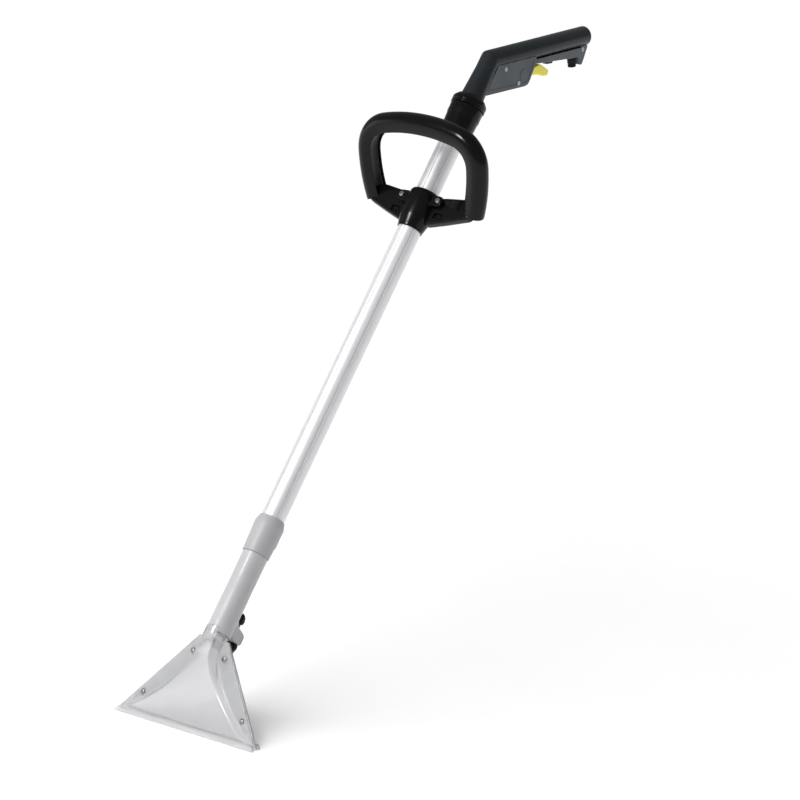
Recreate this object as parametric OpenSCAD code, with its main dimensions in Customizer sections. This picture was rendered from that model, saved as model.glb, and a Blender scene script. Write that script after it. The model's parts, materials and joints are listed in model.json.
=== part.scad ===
// Floor wand of a spray-extraction carpet cleaner.
// A clear suction head, a grey neck, an aluminium suction tube with a clamped D-handle,
// and a bent hand grip with the solution valve and its trigger underneath.
// +X is the wand's right side, +Y points back to the user, +Z is up.
// The origin is on the floor, under the middle of the head's front lip.

/* [Stance] */
// Angle between the suction tube and the vertical
lean = 40; // [25:0.5:55]
// Angle between the head's flange and the vertical
head_lean = 28.4; // [15:0.1:40]

/* [Suction head] */
// Working width of the mouth, over the lips
head_w = 240; // [190:1:320]
// Height of the flange, along its slope
head_h = 124; // [118:1:160]
// Width of the flange at its top
head_top_w = 48; // [40:1:70]
// Height on the flange where the tube's axis crosses it
join_h = 104.4; // [96:0.1:125]
// Wall of the two clear shells
shell_wall = 2.4; // [1.6:0.1:3]
// Thickness of the seal between the shells
gasket_t = 0.6; // [0.4:0.1:1.5]
// How far the duct stands in front of the flange, above the lip
duct_raise = 5; // [3:0.5:8]
// Front to back gap of the suction mouth
mouth_gap = 8; // [5:0.5:12]
// Height of the lips
lip_h = 9; // [6:0.5:14]
// Thickness of the front lip
lip_t = 4.3; // [3.8:0.1:7]
// How far the front lip stands in front of the flange
lip_proud = 3.5; // [2:0.1:3.6]
// Half width of the duct at its throat
throat_hw = 13.3; // [11:0.1:16]
// Exponent of the duct's flare, 1 is a straight funnel
flare = 1.74; // [1.2:0.02:2.4]
// Distance of the upper screws from the middle
screw_hi_x = 27.2; // [24:0.1:34]
// Height of the upper screws on the flange
screw_hi_h = 101.5; // [90:0.1:110]
// Distance of the lower screws from the middle
screw_lo_x = 85.9; // [60:0.1:95]
// Height of the lower screws on the flange
screw_lo_h = 32.1; // [25:0.1:40]
// Diameter of the shell screws' heads
shell_screw_head_d = 7.2; // [5:0.1:9]
// Diameter of the shell screws' shanks
shell_screw_d = 3.4; // [2.5:0.1:4.5]

/* [Neck and spray jet] */
// Outside diameter of the neck
neck_d = 34.5; // [33:0.5:42]
// Length of the neck, from its lower rim to its shoulder
neck_len = 115; // [90:1:180]
// Outside diameter of the head's spigot in the neck
spigot_d = 29.9; // [26:0.1:30]
// Length of the spigot inside the neck
spigot_in = 18; // [12:1:24]
// Distance of the spray jet's axis behind the tube's axis
jet_n = 34.5; // [31:0.5:40]
// Diameter of the jet's bayonet cap
jet_cap_d = 17; // [12:0.5:20]
// Diameter of the jet's brass stem
jet_stem_d = 8; // [6:0.5:9]

/* [Suction tube] */
// Outside diameter of the aluminium tube
tube_d = 32; // [30:0.5:35]
// Wall of the aluminium tube
tube_wall = 1.5; // [1:0.1:2]
// Length of the aluminium tube
tube_len = 645; // [500:5:900]
// Angle of the grooves along the tube, either side of its front
groove_angle = 11; // [6:1:20]
// Width of a groove
groove_w = 1.2; // [0.6:0.1:2]
// Depth of a groove
groove_depth = 0.5; // [0.2:0.1:0.7]

/* [Lower sleeve and latch] */
// Diameter of the sleeve at its lower end
sleeve_low_d = 37; // [36.5:0.5:44]
// Diameter of the sleeve at its widest
sleeve_top_d = 40.5; // [38:0.5:48]
// Length of the sleeve's grip part
sleeve_len = 43; // [42:1:60]
// Length of the sleeve's top chamfer
sleeve_chamfer = 10; // [4:1:14]
// Width of the latch rocker
latch_w = 9.4; // [8:0.1:11]
// Diameter of the latch's axle
latch_pin_d = 2; // [1.6:0.1:2.4]

/* [D-handle] */
// Width of the loop, over the middle of its bar
loop_w = 187.4; // [160:1:220]
// Height of the loop's top bar above the point where its plane meets the tube
loop_top = 101.5; // [90:0.5:125]
// Depth of the loop's lower ends below that point
loop_low = 7; // [4:0.5:12]
// Diameter of the loop's bar
bar_d = 24.6; // [20:0.2:30]
// Radius of the arched top bar
loop_top_r = 270; // [200:5:400]
// Radius of the upper corners
loop_corner_r = 42; // [34:1:52]
// Radius of the curved sides
loop_side_r = 212; // [150:1:300]
// Angle between the loop and the tube
loop_tilt = 44.5; // [30:0.5:60]
// Diameter of the clamp's barrel
clamp_d = 43; // [40:0.5:50]
// Length of the clamp's barrel
clamp_len = 56; // [50:1:70]
// Distance of the clamp's top below the black union
clamp_drop = 75; // [60:1:160]
// Distance of the clamp screws from the middle
clamp_screw_x = 30.7; // [27.5:0.1:36]
// Depth of the arms, front to back
arm_t = 13; // [8:0.5:18]

/* [Union] */
// Diameter of the union's sleeve at its lower end
union_low_d = 41; // [38:0.5:48]
// Diameter of the union's sleeve at its upper end
union_top_d = 46.6; // [44:0.2:50]
// Diameter of the union nut
nut_d = 48.5; // [46.8:0.1:56]
// Length of the union nut
nut_len = 15; // [12:0.5:22]
// Depth of the tube in the union
union_socket = 37; // [25:1:50]

/* [Grip] */
// Outside diameter of the grip
grip_d = 27; // [25:0.5:32]
// Length of the grip behind the bend
grip_len = 210.5; // [209:0.5:250]
// Bore of the grip
grip_bore = 22; // [18:0.5:23]
// Bore of the hose socket at the grip's end
hose_bore_d = 23; // [19:0.5:24]
// Depth of the hose socket
hose_socket = 28; // [20:1:50]
// Diameter of the grip's leg at the union
leg_d = 32.6; // [30:0.2:34]
// Length of the leg above the union nut, to the bend
leg_len = 61.2; // [56:0.2:90]
// Radius of the bend's centre line
bend_r = 20; // [16:0.5:30]

/* [Valve housing] */
// Width of the housing's block
block_w = 24; // [22:0.5:27]
// Width of the bar and the lug
rail_w = 18; // [16:0.5:22]
// Wall of the housing shells
housing_wall = 2; // [1.6:0.1:2.4]
// Width of the trigger
trigger_w = 12; // [8:0.5:12]
// Pull of the trigger
trigger_pull = 6; // [3:0.5:6]
// Diameter of the trigger's pin
trigger_pin_d = 3; // [2:0.2:4]
// Diameter of the valve's body
valve_d = 11; // [9:0.5:12]
// Diameter of the valve's stem
stem_d = 3.6; // [2.6:0.2:4]
// Diameter of the solution line in the tube
line_d = 6; // [4:0.5:6]
// Diameter of the feed line in the housing
feed_d = 4; // [3:0.2:4.4]
// Diameter of the solution inlet's plug
inlet_d = 12; // [10:0.5:13]
// Bore of the solution inlet
inlet_bore = 5; // [3:0.5:6]
// Lean of the solution inlet, towards the lug
inlet_tilt = 8; // [0:1:12]

/* [Fits] */
// Radial clearance of a moving fit
run_fit = 0.05; // [0.02:0.01:0.1]
// Gap between pieces that move past each other
gap = 0.4; // [0.3:0.05:0.8]

/* [Hidden] */
$fn = 72;
eps = 0.01;
far = 600;

// The point where the tube's axis crosses the front of the flange
join_y = join_h * sin(head_lean);
join_z = join_h * cos(head_lean);
tilt = lean - head_lean;

// Stations along the tube's axis, counted up from that point
rim_s = 27;
neck_top_s = rim_s + neck_len;
neck_lip = 9;
tube_s0 = neck_top_s + neck_lip + 1;
tube_s1 = tube_s0 + tube_len;
sleeve_s1 = neck_top_s + sleeve_len;
sleeve_top_s = sleeve_s1 + sleeve_chamfer;
union_s0 = tube_s1 - union_socket;
union_s1 = tube_s1 + 20;
nut_top_s = union_s1 + nut_len;
bend_s = nut_top_s + leg_len;
bend_y = join_y + bend_s * sin(lean);
bend_z = join_z + bend_s * cos(lean);

// Planes of the head, counted back from the front of the flange
front_back = shell_wall;
rear_front = front_back + gasket_t;
flange_back = rear_front + shell_wall;
lip_back = lip_t - lip_proud;
mouth_back = lip_back + mouth_gap;
throat_h = 118.6 + (head_h - 124);
mouth_hw = head_w / 2 - 8;

// The grip's leg and its bend
bend_turn = 90 - lean;
bend_reach = bend_r * tan(bend_turn / 2);
leg_s0 = tube_s1 + 1.7;
leg_wall = 3.2;

// The line inside the tube, and where it leaves the leg
line_n = 8;
line_s0 = rim_s + 37;
line_exit_s = bend_s - 34;
line_exit = [-34 * sin(lean) + line_n * cos(lean), -34 * cos(lean) - line_n * sin(lean)];

// Places in the grip's frame, back from the bend and up from the grip's axis
pivot = [60.5, -29.6];
valve_z = -21;
valve_y = [27, 46];
stem_tip = 54.4;
feed = [4, -15.8];
rail_slope = -0.0706;
rail_front = [92.2, -19.6];
inlet_at = [178.2, -19];
block_outline = [[-34, -44.2], [62, -45.4], [68.5, -44], [73.6, -38.1], [85.6, -18.2], [87.6, -6.5],
                 [-8, -6.5]];
rail_outline = [[80, -19], rail_front, [172, -25], [184, -25], [187.5, -36], [189.8, -37.2],
                [192.5, -36.6], [196, -30.9], [205, -13.7], [205, -6], [80, -6]];
housing_screw_at = [[20.4, -15.2], [48.3, -38.8], [194.6, -16.4]];
housing_screw_side = [block_w / 2, block_w / 2, rail_w / 2];

// The clamp and the loop
clamp_s1 = union_s0 - clamp_drop;
clamp_s0 = clamp_s1 - clamp_len;
loop_s = clamp_s1 - 6;
clamp_cone = 16;
clamp_part_n = -3;
clamp_screw_s = loop_s - 5;
loop_hw = loop_w / 2;
loop_a1 = asin((loop_hw - loop_corner_r) / (loop_top_r - loop_corner_r));
corner_h = loop_top - loop_top_r + (loop_top_r - loop_corner_r) * cos(loop_a1);
loop_a3 = asin((corner_h + loop_low) / loop_side_r);
loop_end = [loop_hw - loop_side_r + loop_side_r * cos(loop_a3), -loop_low];

// The latch, rearward from the tube's axis and along it
latch_at = [22, neck_top_s + 29.5];
latch_nose = [14.3, latch_at[1] - 8.25];
latch_floor = tube_d / 2 + run_fit + 1.85;
seal_s = tube_s0 + 1.5;

// The neck and the solution's way to the jet
neck_bore = 29;
sleeve_seat_d = 34;
elbow_n = jet_n - 4.5;
elbow_s = rim_s + 34;
elbow_d = 8;
elbow_leg_d = 6.4;
jet_bore = 3;
jet_tip_d = 5;
latch_nose_w = 6;

// The clamp's fastenings
clamp_screw_d = 4;
clamp_nut_d = 8;
clamp_nut_t = 3.4;
clamp_ear_x = clamp_screw_x + 7.5;
clamp_ear_t = 6.5;

// The union's neck and the grip's end
union_neck_d = 39;
union_lip = 3;
grip_round = 1.5;
// A slight swelling that closes the joint of two swept stretches
bead = 0.3;

// The housing's fastenings and the trigger's boss
housing_screw_d = 2.8;
housing_screw_head_d = 5.8;
housing_boss_d = 6.4;
stop_stem_d = 3.6;
stop_stem_y = 127;
stop_y = [117, 133];

// ---------- frames and helpers ----------

module wand() translate([0, join_y, join_z]) rotate([-lean, 0, 0]) children();
module head() rotate([-head_lean, 0, 0]) children();
module grip() translate([0, bend_y, bend_z]) children();
module loop() wand() translate([0, 0, loop_s]) rotate([loop_tilt, 0, 0]) children();
module both_sides() { children(); mirror([1, 0, 0]) children(); }

// An outline in the (rearward, up) plane, w wide in X and centred
module slab_x(w) rotate([90, 0, 90]) translate([0, 0, -w / 2]) linear_extrude(height = w) children();

// An outline in the (X, up) plane, from y0 back to y1
module slab_y(y0, y1) translate([0, y1, 0]) rotate([90, 0, 0]) linear_extrude(height = y1 - y0) children();

// A tube or rod about the local Z axis, from z0 to z1
module rod(z0, z1, d) translate([0, 0, z0]) cylinder(h = z1 - z0, d = d);
module cone(z0, z1, d0, d1) translate([0, 0, z0]) cylinder(h = z1 - z0, d1 = d0, d2 = d1);

// A rod between two points of the (rearward, up) plane
module rod_between(a, b, d)
    translate([0, a[0], a[1]]) rotate([-atan2(b[0] - a[0], b[1] - a[1]), 0, 0])
        cylinder(h = norm(b - a), d = d);

// A rod along X through a point of the (rearward, up) plane
module rod_x(at, x0, x1, d) translate([x0, at[0], at[1]]) rotate([0, 90, 0]) cylinder(h = x1 - x0, d = d);

// A rod pointing rearward from n0 to n1, at x and s
module rod_n(x, s, n0, n1, d) translate([x, n0, s]) rotate([-90, 0, 0]) cylinder(h = n1 - n0, d = d);

function unit(v) = v / norm(v);
function left_of(v) = [-v[1], v[0]];

// A counter-clockwise outline moved inwards by w
function inset(p, w) = [for (i = [0:len(p) - 1]) let (
    a = p[(i + len(p) - 1) % len(p)], b = p[i], c = p[(i + 1) % len(p)],
    u = left_of(unit(b - a)), v = left_of(unit(c - b))) b + w * (u + v) / (1 + u * v)];

// A coil spring about the local Z axis, as one swept tube
module coil(r, wire, length, turns) {
    around = 6;
    steps = turns * 14;
    rings = [for (i = [0:steps]) let (a = 360 * turns * i / steps, z = length * i / steps)
        for (j = [0:around - 1]) let (b = 360 * j / around, q = r + wire / 2 * cos(b))
            [q * cos(a), q * sin(a), z + wire / 2 * sin(b)]];
    sides = [for (i = [0:steps - 1]) for (j = [0:around - 1]) let (k = (j + 1) % around)
        [i * around + j, i * around + k, (i + 1) * around + k, (i + 1) * around + j]];
    ends = [[for (j = [around - 1:-1:0]) j], [for (j = [0:around - 1]) steps * around + j]];
    polyhedron(points = rings, faces = concat(sides, ends), convexity = 8);
}

// ---------- suction head ----------

// Half width of the duct at a height on the flange
function duct_u(h) = max(0, (throat_h - h) / (throat_h - lip_h));
function duct_hw(h) = throat_hw + (mouth_hw - throat_hw) * pow(duct_u(h), flare);
function duct_slope(h) = (mouth_hw - throat_hw) * flare * pow(duct_u(h), flare - 1) / (throat_h - lip_h);

// The duct's outline seen from the front, with its walls moved in by w
function duct_side(w, top, bottom) = concat([[throat_hw - w, top]],
    [for (i = [0:16]) let (h = throat_h - (throat_h - lip_h) * i / 16)
        [duct_hw(h) - w * sqrt(1 + pow(duct_slope(h), 2)), h]],
    [[mouth_hw - 2 * w, bottom]]);
function mirrored(p) = concat(p, [for (i = [len(p) - 1:-1:0]) [-p[i][0], p[i][1]]]);

module duct(w, top, bottom) intersection() {
    slab_y(-60, 60) polygon(mirrored(duct_side(w, top, bottom)));
    slab_x(head_w) polygon([
        [-duct_raise + w, bottom], [-spigot_d / 2 + w, join_h], [-spigot_d / 2 + w, top],
        [spigot_d / 2 - w + 3, top], [spigot_d / 2 - w, join_h - 6], [mouth_back + shell_wall - w, bottom]]);
}

module flange(y0, y1) slab_y(y0, y1)
    polygon([[-head_w / 2, -20], [head_w / 2, -20], [head_w / 2, 3], [head_top_w / 2, head_h],
             [-head_top_w / 2, head_h], [-head_w / 2, 3]]);

module lip(y0, y1) translate([-head_w / 2, y0, -20]) cube([head_w, y1 - y0, 20 + lip_h]);
module between(y0, y1) translate([-far, y0, -far]) cube([2 * far, y1 - y0, 2 * far]);
module below_floor() translate([-far, -far, -far]) cube([2 * far, 2 * far, far]);
module spigot(d, s0, s1) wand() rod(s0, s1, d);

// What the neck's wall takes from the shells
module neck_room() wand() difference() {
    rod(rim_s, rim_s + 60, 90);
    rod(rim_s - 1, rim_s + 61, spigot_d);
}

module at_shell_screws() for (p = [[screw_hi_x, screw_hi_h], [screw_lo_x, screw_lo_h]])
    both_sides() translate([p[0], 0, p[1]]) rotate([-90, 0, 0]) children();

// The air's way through the head, from the mouth to the neck
module head_hollow() {
    head() duct(shell_wall, join_h + 4, lip_h - 0.5);
    head() slab_y(lip_back, mouth_back) mirror_box(mouth_hw - shell_wall, -40, lip_h);
    spigot(spigot_d - 2 * shell_wall, -14, rim_s + spigot_in + 1);
}
module mirror_box(hw, z0, z1) translate([-hw, z0]) square([2 * hw, z1 - z0]);

// One clear shell, between the planes y0 and y1, with its flange and its lip
module shell(y0, y1, flange0, flange1, lip0, lip1) difference() {
    union() {
        intersection() {
            union() {
                head() duct(0, join_h + 8, -20);
                spigot(spigot_d, -10, rim_s + spigot_in);
            }
            head() between(y0, y1);
        }
        head() flange(flange0, flange1);
        head() lip(lip0, lip1);
    }
    head_hollow();
    neck_room();
    head() at_shell_screws() rod(-20, 40, shell_screw_d);
    below_floor();
}

module head_front_shell() color("whitesmoke") {
    shell(-60, front_back, 0, front_back, -lip_proud, lip_back);
    // The tongue that laps over the front of the neck
    wand() intersection() {
        difference() { rod(rim_s - 6, rim_s + 6, neck_d + 4); rod(rim_s - 7, rim_s + 7, neck_d); }
        translate([-9.5, -60, 0]) cube([19, 60, 60]);
    }
    wand() intersection() {
        difference() { rod(rim_s - 6, rim_s - eps, neck_d + 4); rod(rim_s - 7, rim_s, spigot_d); }
        translate([-9.5, -60, 0]) cube([19, 60, 60]);
    }
}

module head_rear_shell() color("gainsboro")
    shell(rear_front, 60, rear_front, flange_back, mouth_back, mouth_back + shell_wall + 1.2);

module head_gasket() color("silver") difference() {
    head() flange(front_back, rear_front);
    head() slab_y(-1, 20) polygon(mirrored(duct_side(shell_wall, join_h + 20, -30)));
    spigot(neck_d + 1, -30, 60);
    head() at_shell_screws() rod(-20, 40, shell_screw_d);
    below_floor();
}

// Screws from the front, each with a nut behind the rear shell
module head_screws() color("dimgray") head() at_shell_screws() {
    rod(-1.8, 0, shell_screw_head_d);
    rod(-1, flange_back + 2.6, shell_screw_d);
    translate([0, 0, flange_back]) cylinder(h = 2.2, d = shell_screw_head_d, $fn = 6);
}

// ---------- neck and jet ----------

module neck() color("lightgray") wand() difference() {
    union() {
        rod(rim_s, neck_top_s, neck_d);
        rod(neck_top_s - eps, neck_top_s + neck_lip, sleeve_seat_d);
        slab_x(jet_cap_d - 1) polygon([
            [0, rim_s + 7], [20, rim_s + 6], [jet_n - 7.5, rim_s + 2.5], [jet_n + 9, rim_s + 2.5],
            [jet_n + 11.7, rim_s + 5], [jet_n + 11.3, rim_s + 18.6], [jet_n + 1.5, rim_s + 23],
            [jet_n - 8.5, rim_s + 24], [20, rim_s + 31], [0, rim_s + 36]]);
    }
    rod(rim_s - 1, rim_s + spigot_in + 3, spigot_d);
    rod(rim_s, neck_top_s + neck_lip + 1, neck_bore);
    translate([0, elbow_n, 0]) rod(rim_s + 20, rim_s + 60, elbow_d);
    rod_n(0, elbow_s, 0, elbow_n, elbow_leg_d);
    translate([0, jet_n, 0]) rod(rim_s, rim_s + 19, jet_stem_d);
}

module neck_seal() color("black") wand() difference() {
    rod(rim_s + spigot_in, rim_s + spigot_in + 3, spigot_d);
    rod(rim_s, rim_s + 40, spigot_d - 2 * shell_wall);
}

// Carries the solution through the neck's wall, down to the jet
module jet_elbow() color("black") wand() difference() {
    union() {
        translate([0, elbow_n, 0]) rod(rim_s + 20, elbow_s + 8, elbow_d);
        rod_n(0, elbow_s, line_n, elbow_n, elbow_leg_d);
        translate([0, line_n, 0]) rod(elbow_s - 4, elbow_s + 8, line_d + 2.4);
    }
    translate([0, line_n, 0]) rod(line_s0, elbow_s + 9, line_d);
    translate([0, line_n, 0]) rod(elbow_s - 1, line_s0 + eps, jet_bore);
    rod_n(0, elbow_s, line_n, elbow_n, jet_bore);
    translate([0, elbow_n, 0]) rod(rim_s + 19, elbow_s, jet_bore);
}

module jet_stem() color("goldenrod") wand() translate([0, jet_n, 0]) difference() {
    rod(rim_s - 5, rim_s + 19, jet_stem_d);
    rod(rim_s - 6, rim_s + 17, jet_bore);
}

// The bayonet cap turns on the stem, the tip sits in the cap
module jet_cap() color("black") wand() translate([0, jet_n, 0]) difference() {
    union() {
        rod(rim_s - 4, rim_s + 2, jet_cap_d);
        cone(rim_s - 12, rim_s - 4 + eps, 9, jet_cap_d);
        for (a = [0, 180]) rotate(a) translate([jet_cap_d / 2 - 1, -1.5, rim_s - 4]) cube([2.4, 3, 6]);
    }
    rod(rim_s - 5 - gap, rim_s + 3, jet_stem_d + 2 * run_fit);
    rod(rim_s - 13, rim_s - 5, jet_tip_d);
}

module jet_tip() color("goldenrod") wand() translate([0, jet_n, 0]) difference() {
    rod(rim_s - 13.5, rim_s - 5 - gap, jet_tip_d);
    rod(rim_s - 12, rim_s - 4, 2.4);
    translate([-4, -0.4, rim_s - 14]) cube([8, 0.8, 2.5]);
}

// ---------- suction tube and lower sleeve ----------

module latch_window() translate([-latch_nose_w / 2 - gap, 0, latch_nose[1] - 4])
    cube([latch_nose_w + 2 * gap, 40, 7.9]);

module suction_tube() color("silver") wand() difference() {
    rod(tube_s0, tube_s1, tube_d);
    rod(tube_s0 - 1, tube_s1 + 1, tube_d - 2 * tube_wall);
    for (a = [-groove_angle, groove_angle, groove_angle + 46])
        rotate(a) translate([-groove_w / 2, -tube_d / 2 - 1, sleeve_top_s + 1])
            cube([groove_w, 1 + groove_depth, union_s0 - sleeve_top_s - 2]);
    latch_window();
}

module tube_sleeve() color("darkgray") wand() difference() {
    union() {
        cone(neck_top_s, sleeve_s1, sleeve_low_d, sleeve_top_d);
        cone(sleeve_s1 - eps, sleeve_top_s, sleeve_top_d, tube_d + 2.4);
        for (x = [-latch_w / 2 - gap - 2, latch_w / 2 + gap])
            translate([x, 12, latch_at[1] - 13]) cube([2, 11.4, 24]);
    }
    rod(neck_top_s - 1, neck_top_s + neck_lip, sleeve_seat_d);
    rod(neck_top_s, sleeve_top_s + 1, tube_d + 2 * run_fit);
    rod(seal_s, seal_s + 2.6, tube_d + 3);
    translate([-latch_w / 2 - gap, latch_floor, latch_at[1] - 12.5]) cube([latch_w + 2 * gap, 30, 23.5]);
    latch_window();
    rod_x(latch_at, -far, far, latch_pin_d);
}

module tube_seal() color("black") wand() difference() {
    rod(seal_s, seal_s + 2.6, tube_d + 3);
    rod(seal_s - 1, seal_s + 4, tube_d);
}

// The rocker: its nose drops into the tube's window, its tail is pressed
module tube_latch() color("dimgray") wand() difference() {
    union() {
        slab_x(latch_w) polygon([
            [latch_at[0] - 1.6, latch_at[1] - 12], [latch_at[0] + 1.2, latch_at[1] - 12],
            [latch_at[0] + 2.4, latch_at[1] - 6], [latch_at[0] + 2.4, latch_at[1] + 4],
            [latch_at[0] + 1.6, latch_at[1] + 9.5], [latch_at[0] - 1.6, latch_at[1] + 9.5]]);
        slab_x(latch_nose_w) polygon([
            [latch_nose[0], latch_nose[1] - 1.7], [latch_at[0], latch_nose[1] - 2.2],
            [latch_at[0], latch_nose[1] + 2.2], [latch_nose[0], latch_nose[1] + 1.7]]);
    }
    rod_x(latch_at, -far, far, latch_pin_d + 2 * run_fit);
}

module latch_pin() color("silver") wand()
    rod_x(latch_at, -latch_w / 2 - gap - 2, latch_w / 2 + gap + 2, latch_pin_d);

module latch_spring() color("silver") wand() slab_x(4) polygon([
    [latch_floor, latch_at[1] - 4], [latch_floor + 0.4, latch_at[1] - 4],
    [latch_at[0] - 1.7, latch_at[1] + 8], [latch_at[0] - 2.1, latch_at[1] + 8]]);

// ---------- D-handle ----------

// A stretch of the loop's bar, an arc of radius r about (x, h) from a0 to a1
module bar(x, h, r, a0, a1) translate([x, 0, h]) rotate([90, 0, 0]) rotate([0, 0, a0])
    rotate_extrude(angle = a1 - a0) translate([r, 0]) circle(d = bar_d);

module loop_bar() {
    bar(0, loop_top - loop_top_r, loop_top_r, 90 - loop_a1, 90 + loop_a1);
    both_sides() {
        bar(loop_hw - loop_corner_r, corner_h, loop_corner_r, 0, 90 - loop_a1);
        bar(loop_hw - loop_side_r, corner_h, loop_side_r, -loop_a3, 0);
        translate([loop_end[0], 0, loop_end[1]]) sphere(d = bar_d);
        translate([loop_hw, 0, corner_h]) sphere(d = bar_d + bead);
        translate([loop_top_r * sin(loop_a1), 0, loop_top - loop_top_r * (1 - cos(loop_a1))])
            sphere(d = bar_d + bead);
    }
}

module arm_outline() polygon([
    [10, loop_s - 42], [clamp_d / 2 + 3, loop_s - 38], [50, loop_s - 30], [loop_hw - 12, loop_s - 19],
    [loop_hw - 3, loop_s - 8], [loop_hw - 6, loop_s + 4], [loop_hw - 26, loop_s + 8],
    [clamp_d / 2 + 3, loop_s + 1], [10, loop_s + 1]]);

module barrel() {
    cone(clamp_s0, clamp_s0 + clamp_cone, tube_d + 2.5, clamp_d);
    rod(clamp_s0 + clamp_cone - eps, clamp_s1, clamp_d);
}

module at_clamp_screws() both_sides() translate([clamp_screw_x, 0, clamp_screw_s]) rotate([-90, 0, 0])
    children();

module d_handle() color("black") difference() {
    union() {
        loop() loop_bar();
        wand() intersection() { barrel(); translate([-far, clamp_part_n, 0]) cube([2 * far, far, 2 * far]); }
        wand() both_sides() slab_y(clamp_part_n, clamp_part_n + arm_t) arm_outline();
        wand() at_clamp_screws() rod(clamp_part_n, clamp_part_n + arm_t, 15);
    }
    wand() rod(clamp_s0 - 1, clamp_s1 + 1, tube_d + 2 * run_fit);
    wand() at_clamp_screws() {
        rod(clamp_part_n - 9, 40, clamp_screw_d);
        translate([0, 0, clamp_part_n + arm_t - clamp_nut_t])
            cylinder(h = clamp_nut_t + 9, d = clamp_nut_d, $fn = 6);
    }
    // Room for the clamp shell's ears in front of the arms
    wand() translate([-clamp_ear_x, clamp_part_n - 30, clamp_s0 - 1])
        cube([2 * clamp_ear_x, 30, clamp_len + 2]);
    wand() both_sides() translate([30, clamp_part_n - 1, loop_s - 28]) cube([12, 4, 8]);
}

module clamp_shell() color("black") wand() difference() {
    union() {
        intersection() { barrel(); translate([-far, -far, 0]) cube([2 * far, far + clamp_part_n, 2 * far]); }
        at_clamp_screws() rod(clamp_part_n - clamp_ear_t, clamp_part_n, 13);
        both_sides() translate([clamp_d / 2 - 6, clamp_part_n - 5, clamp_screw_s - 7])
            cube([clamp_screw_x - clamp_d / 2 + 6, 5, 14]);
    }
    rod(clamp_s0 - 1, clamp_s1 + 1, tube_d + 2 * run_fit);
    at_clamp_screws() rod(clamp_part_n - 20, 40, clamp_screw_d);
}

module clamp_screws() color("gainsboro") wand() at_clamp_screws() difference() {
    union() {
        rod(clamp_part_n - clamp_ear_t - 2.6, clamp_part_n - clamp_ear_t, 7.6);
        rod(clamp_part_n - clamp_ear_t - 1, clamp_part_n + arm_t - 0.5, clamp_screw_d);
    }
    rod(clamp_part_n - clamp_ear_t - 3, clamp_part_n - clamp_ear_t - 1.2, 3);
}

module clamp_nuts() color("silver") wand() at_clamp_screws() difference() {
    translate([0, 0, clamp_part_n + arm_t - clamp_nut_t]) cylinder(h = clamp_nut_t, d = clamp_nut_d, $fn = 6);
    rod(0, 40, clamp_screw_d);
}

// ---------- union ----------

module union_sleeve() color("black") wand() difference() {
    union() {
        rod(union_s0, union_s0 + 4, union_low_d + 1.2);
        cone(union_s0 + 4 - eps, union_s0 + 30, union_low_d, union_low_d + 3);
        cone(union_s0 + 30 - eps, union_s1, union_low_d + 3.6, union_top_d);
        rod(union_s1 - eps, nut_top_s - union_lip, union_neck_d);
    }
    rod(union_s0 - 1, tube_s1 + 0.5, tube_d + 2 * run_fit);
    rod(tube_s1, nut_top_s, leg_d + 0.1);
    rod(nut_top_s - union_lip - 4, nut_top_s, leg_d + 3.4);
}

module union_seal() color("black") wand() difference() {
    rod(nut_top_s - union_lip - 4, nut_top_s - union_lip, leg_d + 3.4);
    rod(union_s0, nut_top_s, leg_d);
}

module union_nut() color("black") wand() difference() {
    union() {
        rod(union_s1 + gap, nut_top_s - 5, nut_d);
        cone(nut_top_s - 5 - eps, nut_top_s, nut_d, nut_d - 8);
    }
    rod(union_s1, nut_top_s - union_lip + gap, union_neck_d + 2 * run_fit);
    rod(union_s1, nut_top_s + 1, leg_d + 2 * gap);
}

// ---------- grip ----------

module bend(d) translate([0, bend_reach, -bend_r]) rotate([0, 90, 0]) rotate([0, 0, 180])
    rotate_extrude(angle = bend_turn) translate([bend_r, 0]) circle(d = d);

module bend_ends(d) {
    wand() translate([0, 0, bend_s - bend_reach]) sphere(d = d + bead);
    grip() translate([0, bend_reach, 0]) sphere(d = d + bead);
}

module grip_outside() {
    bend_ends(grip_d);
    wand() rod(leg_s0, nut_top_s + 2, leg_d);
    wand() cone(nut_top_s + 2, bend_s - bend_reach, leg_d, grip_d);
    grip() bend(grip_d);
    grip() rotate([-90, 0, 0]) rod(bend_reach, grip_len - grip_round, grip_d);
    grip() rotate([-90, 0, 0]) cone(grip_len - grip_round, grip_len, grip_d, grip_d - 2 * grip_round);
}

module grip_inside() {
    bend_ends(grip_bore);
    wand() cone(leg_s0 - 1, bend_s - bend_reach, leg_d - 2 * leg_wall, grip_bore);
    grip() bend(grip_bore);
    grip() rotate([-90, 0, 0]) rod(bend_reach, grip_len - hose_socket + 1, grip_bore);
    grip() rotate([-90, 0, 0]) rod(grip_len - hose_socket, grip_len + 1, hose_bore_d);
}

module elbow_grip() color("darkslategray") difference() {
    grip_outside();
    grip_inside();
    grip() rod_between([valve_y[0], valve_z], line_exit, line_d);
}

// ---------- valve housing ----------

module at_housing_screws() for (i = [0:2])
    translate([housing_screw_side[i], housing_screw_at[i][0], housing_screw_at[i][1]]) rotate([0, -90, 0])
        children();

module housing_cavity() {
    slab_x(block_w - 2 * housing_wall) polygon(inset(block_outline, housing_wall));
    slab_x(rail_w - 2 * housing_wall) polygon(inset(rail_outline, housing_wall));
    // Slot for the trigger, through the block's rear face and the bar's underside
    slab_x(trigger_w + 2 * gap) polygon([[68, -36.4], [112, -36.4], [112, feed[1]], [68, feed[1]]]);
}

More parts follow.
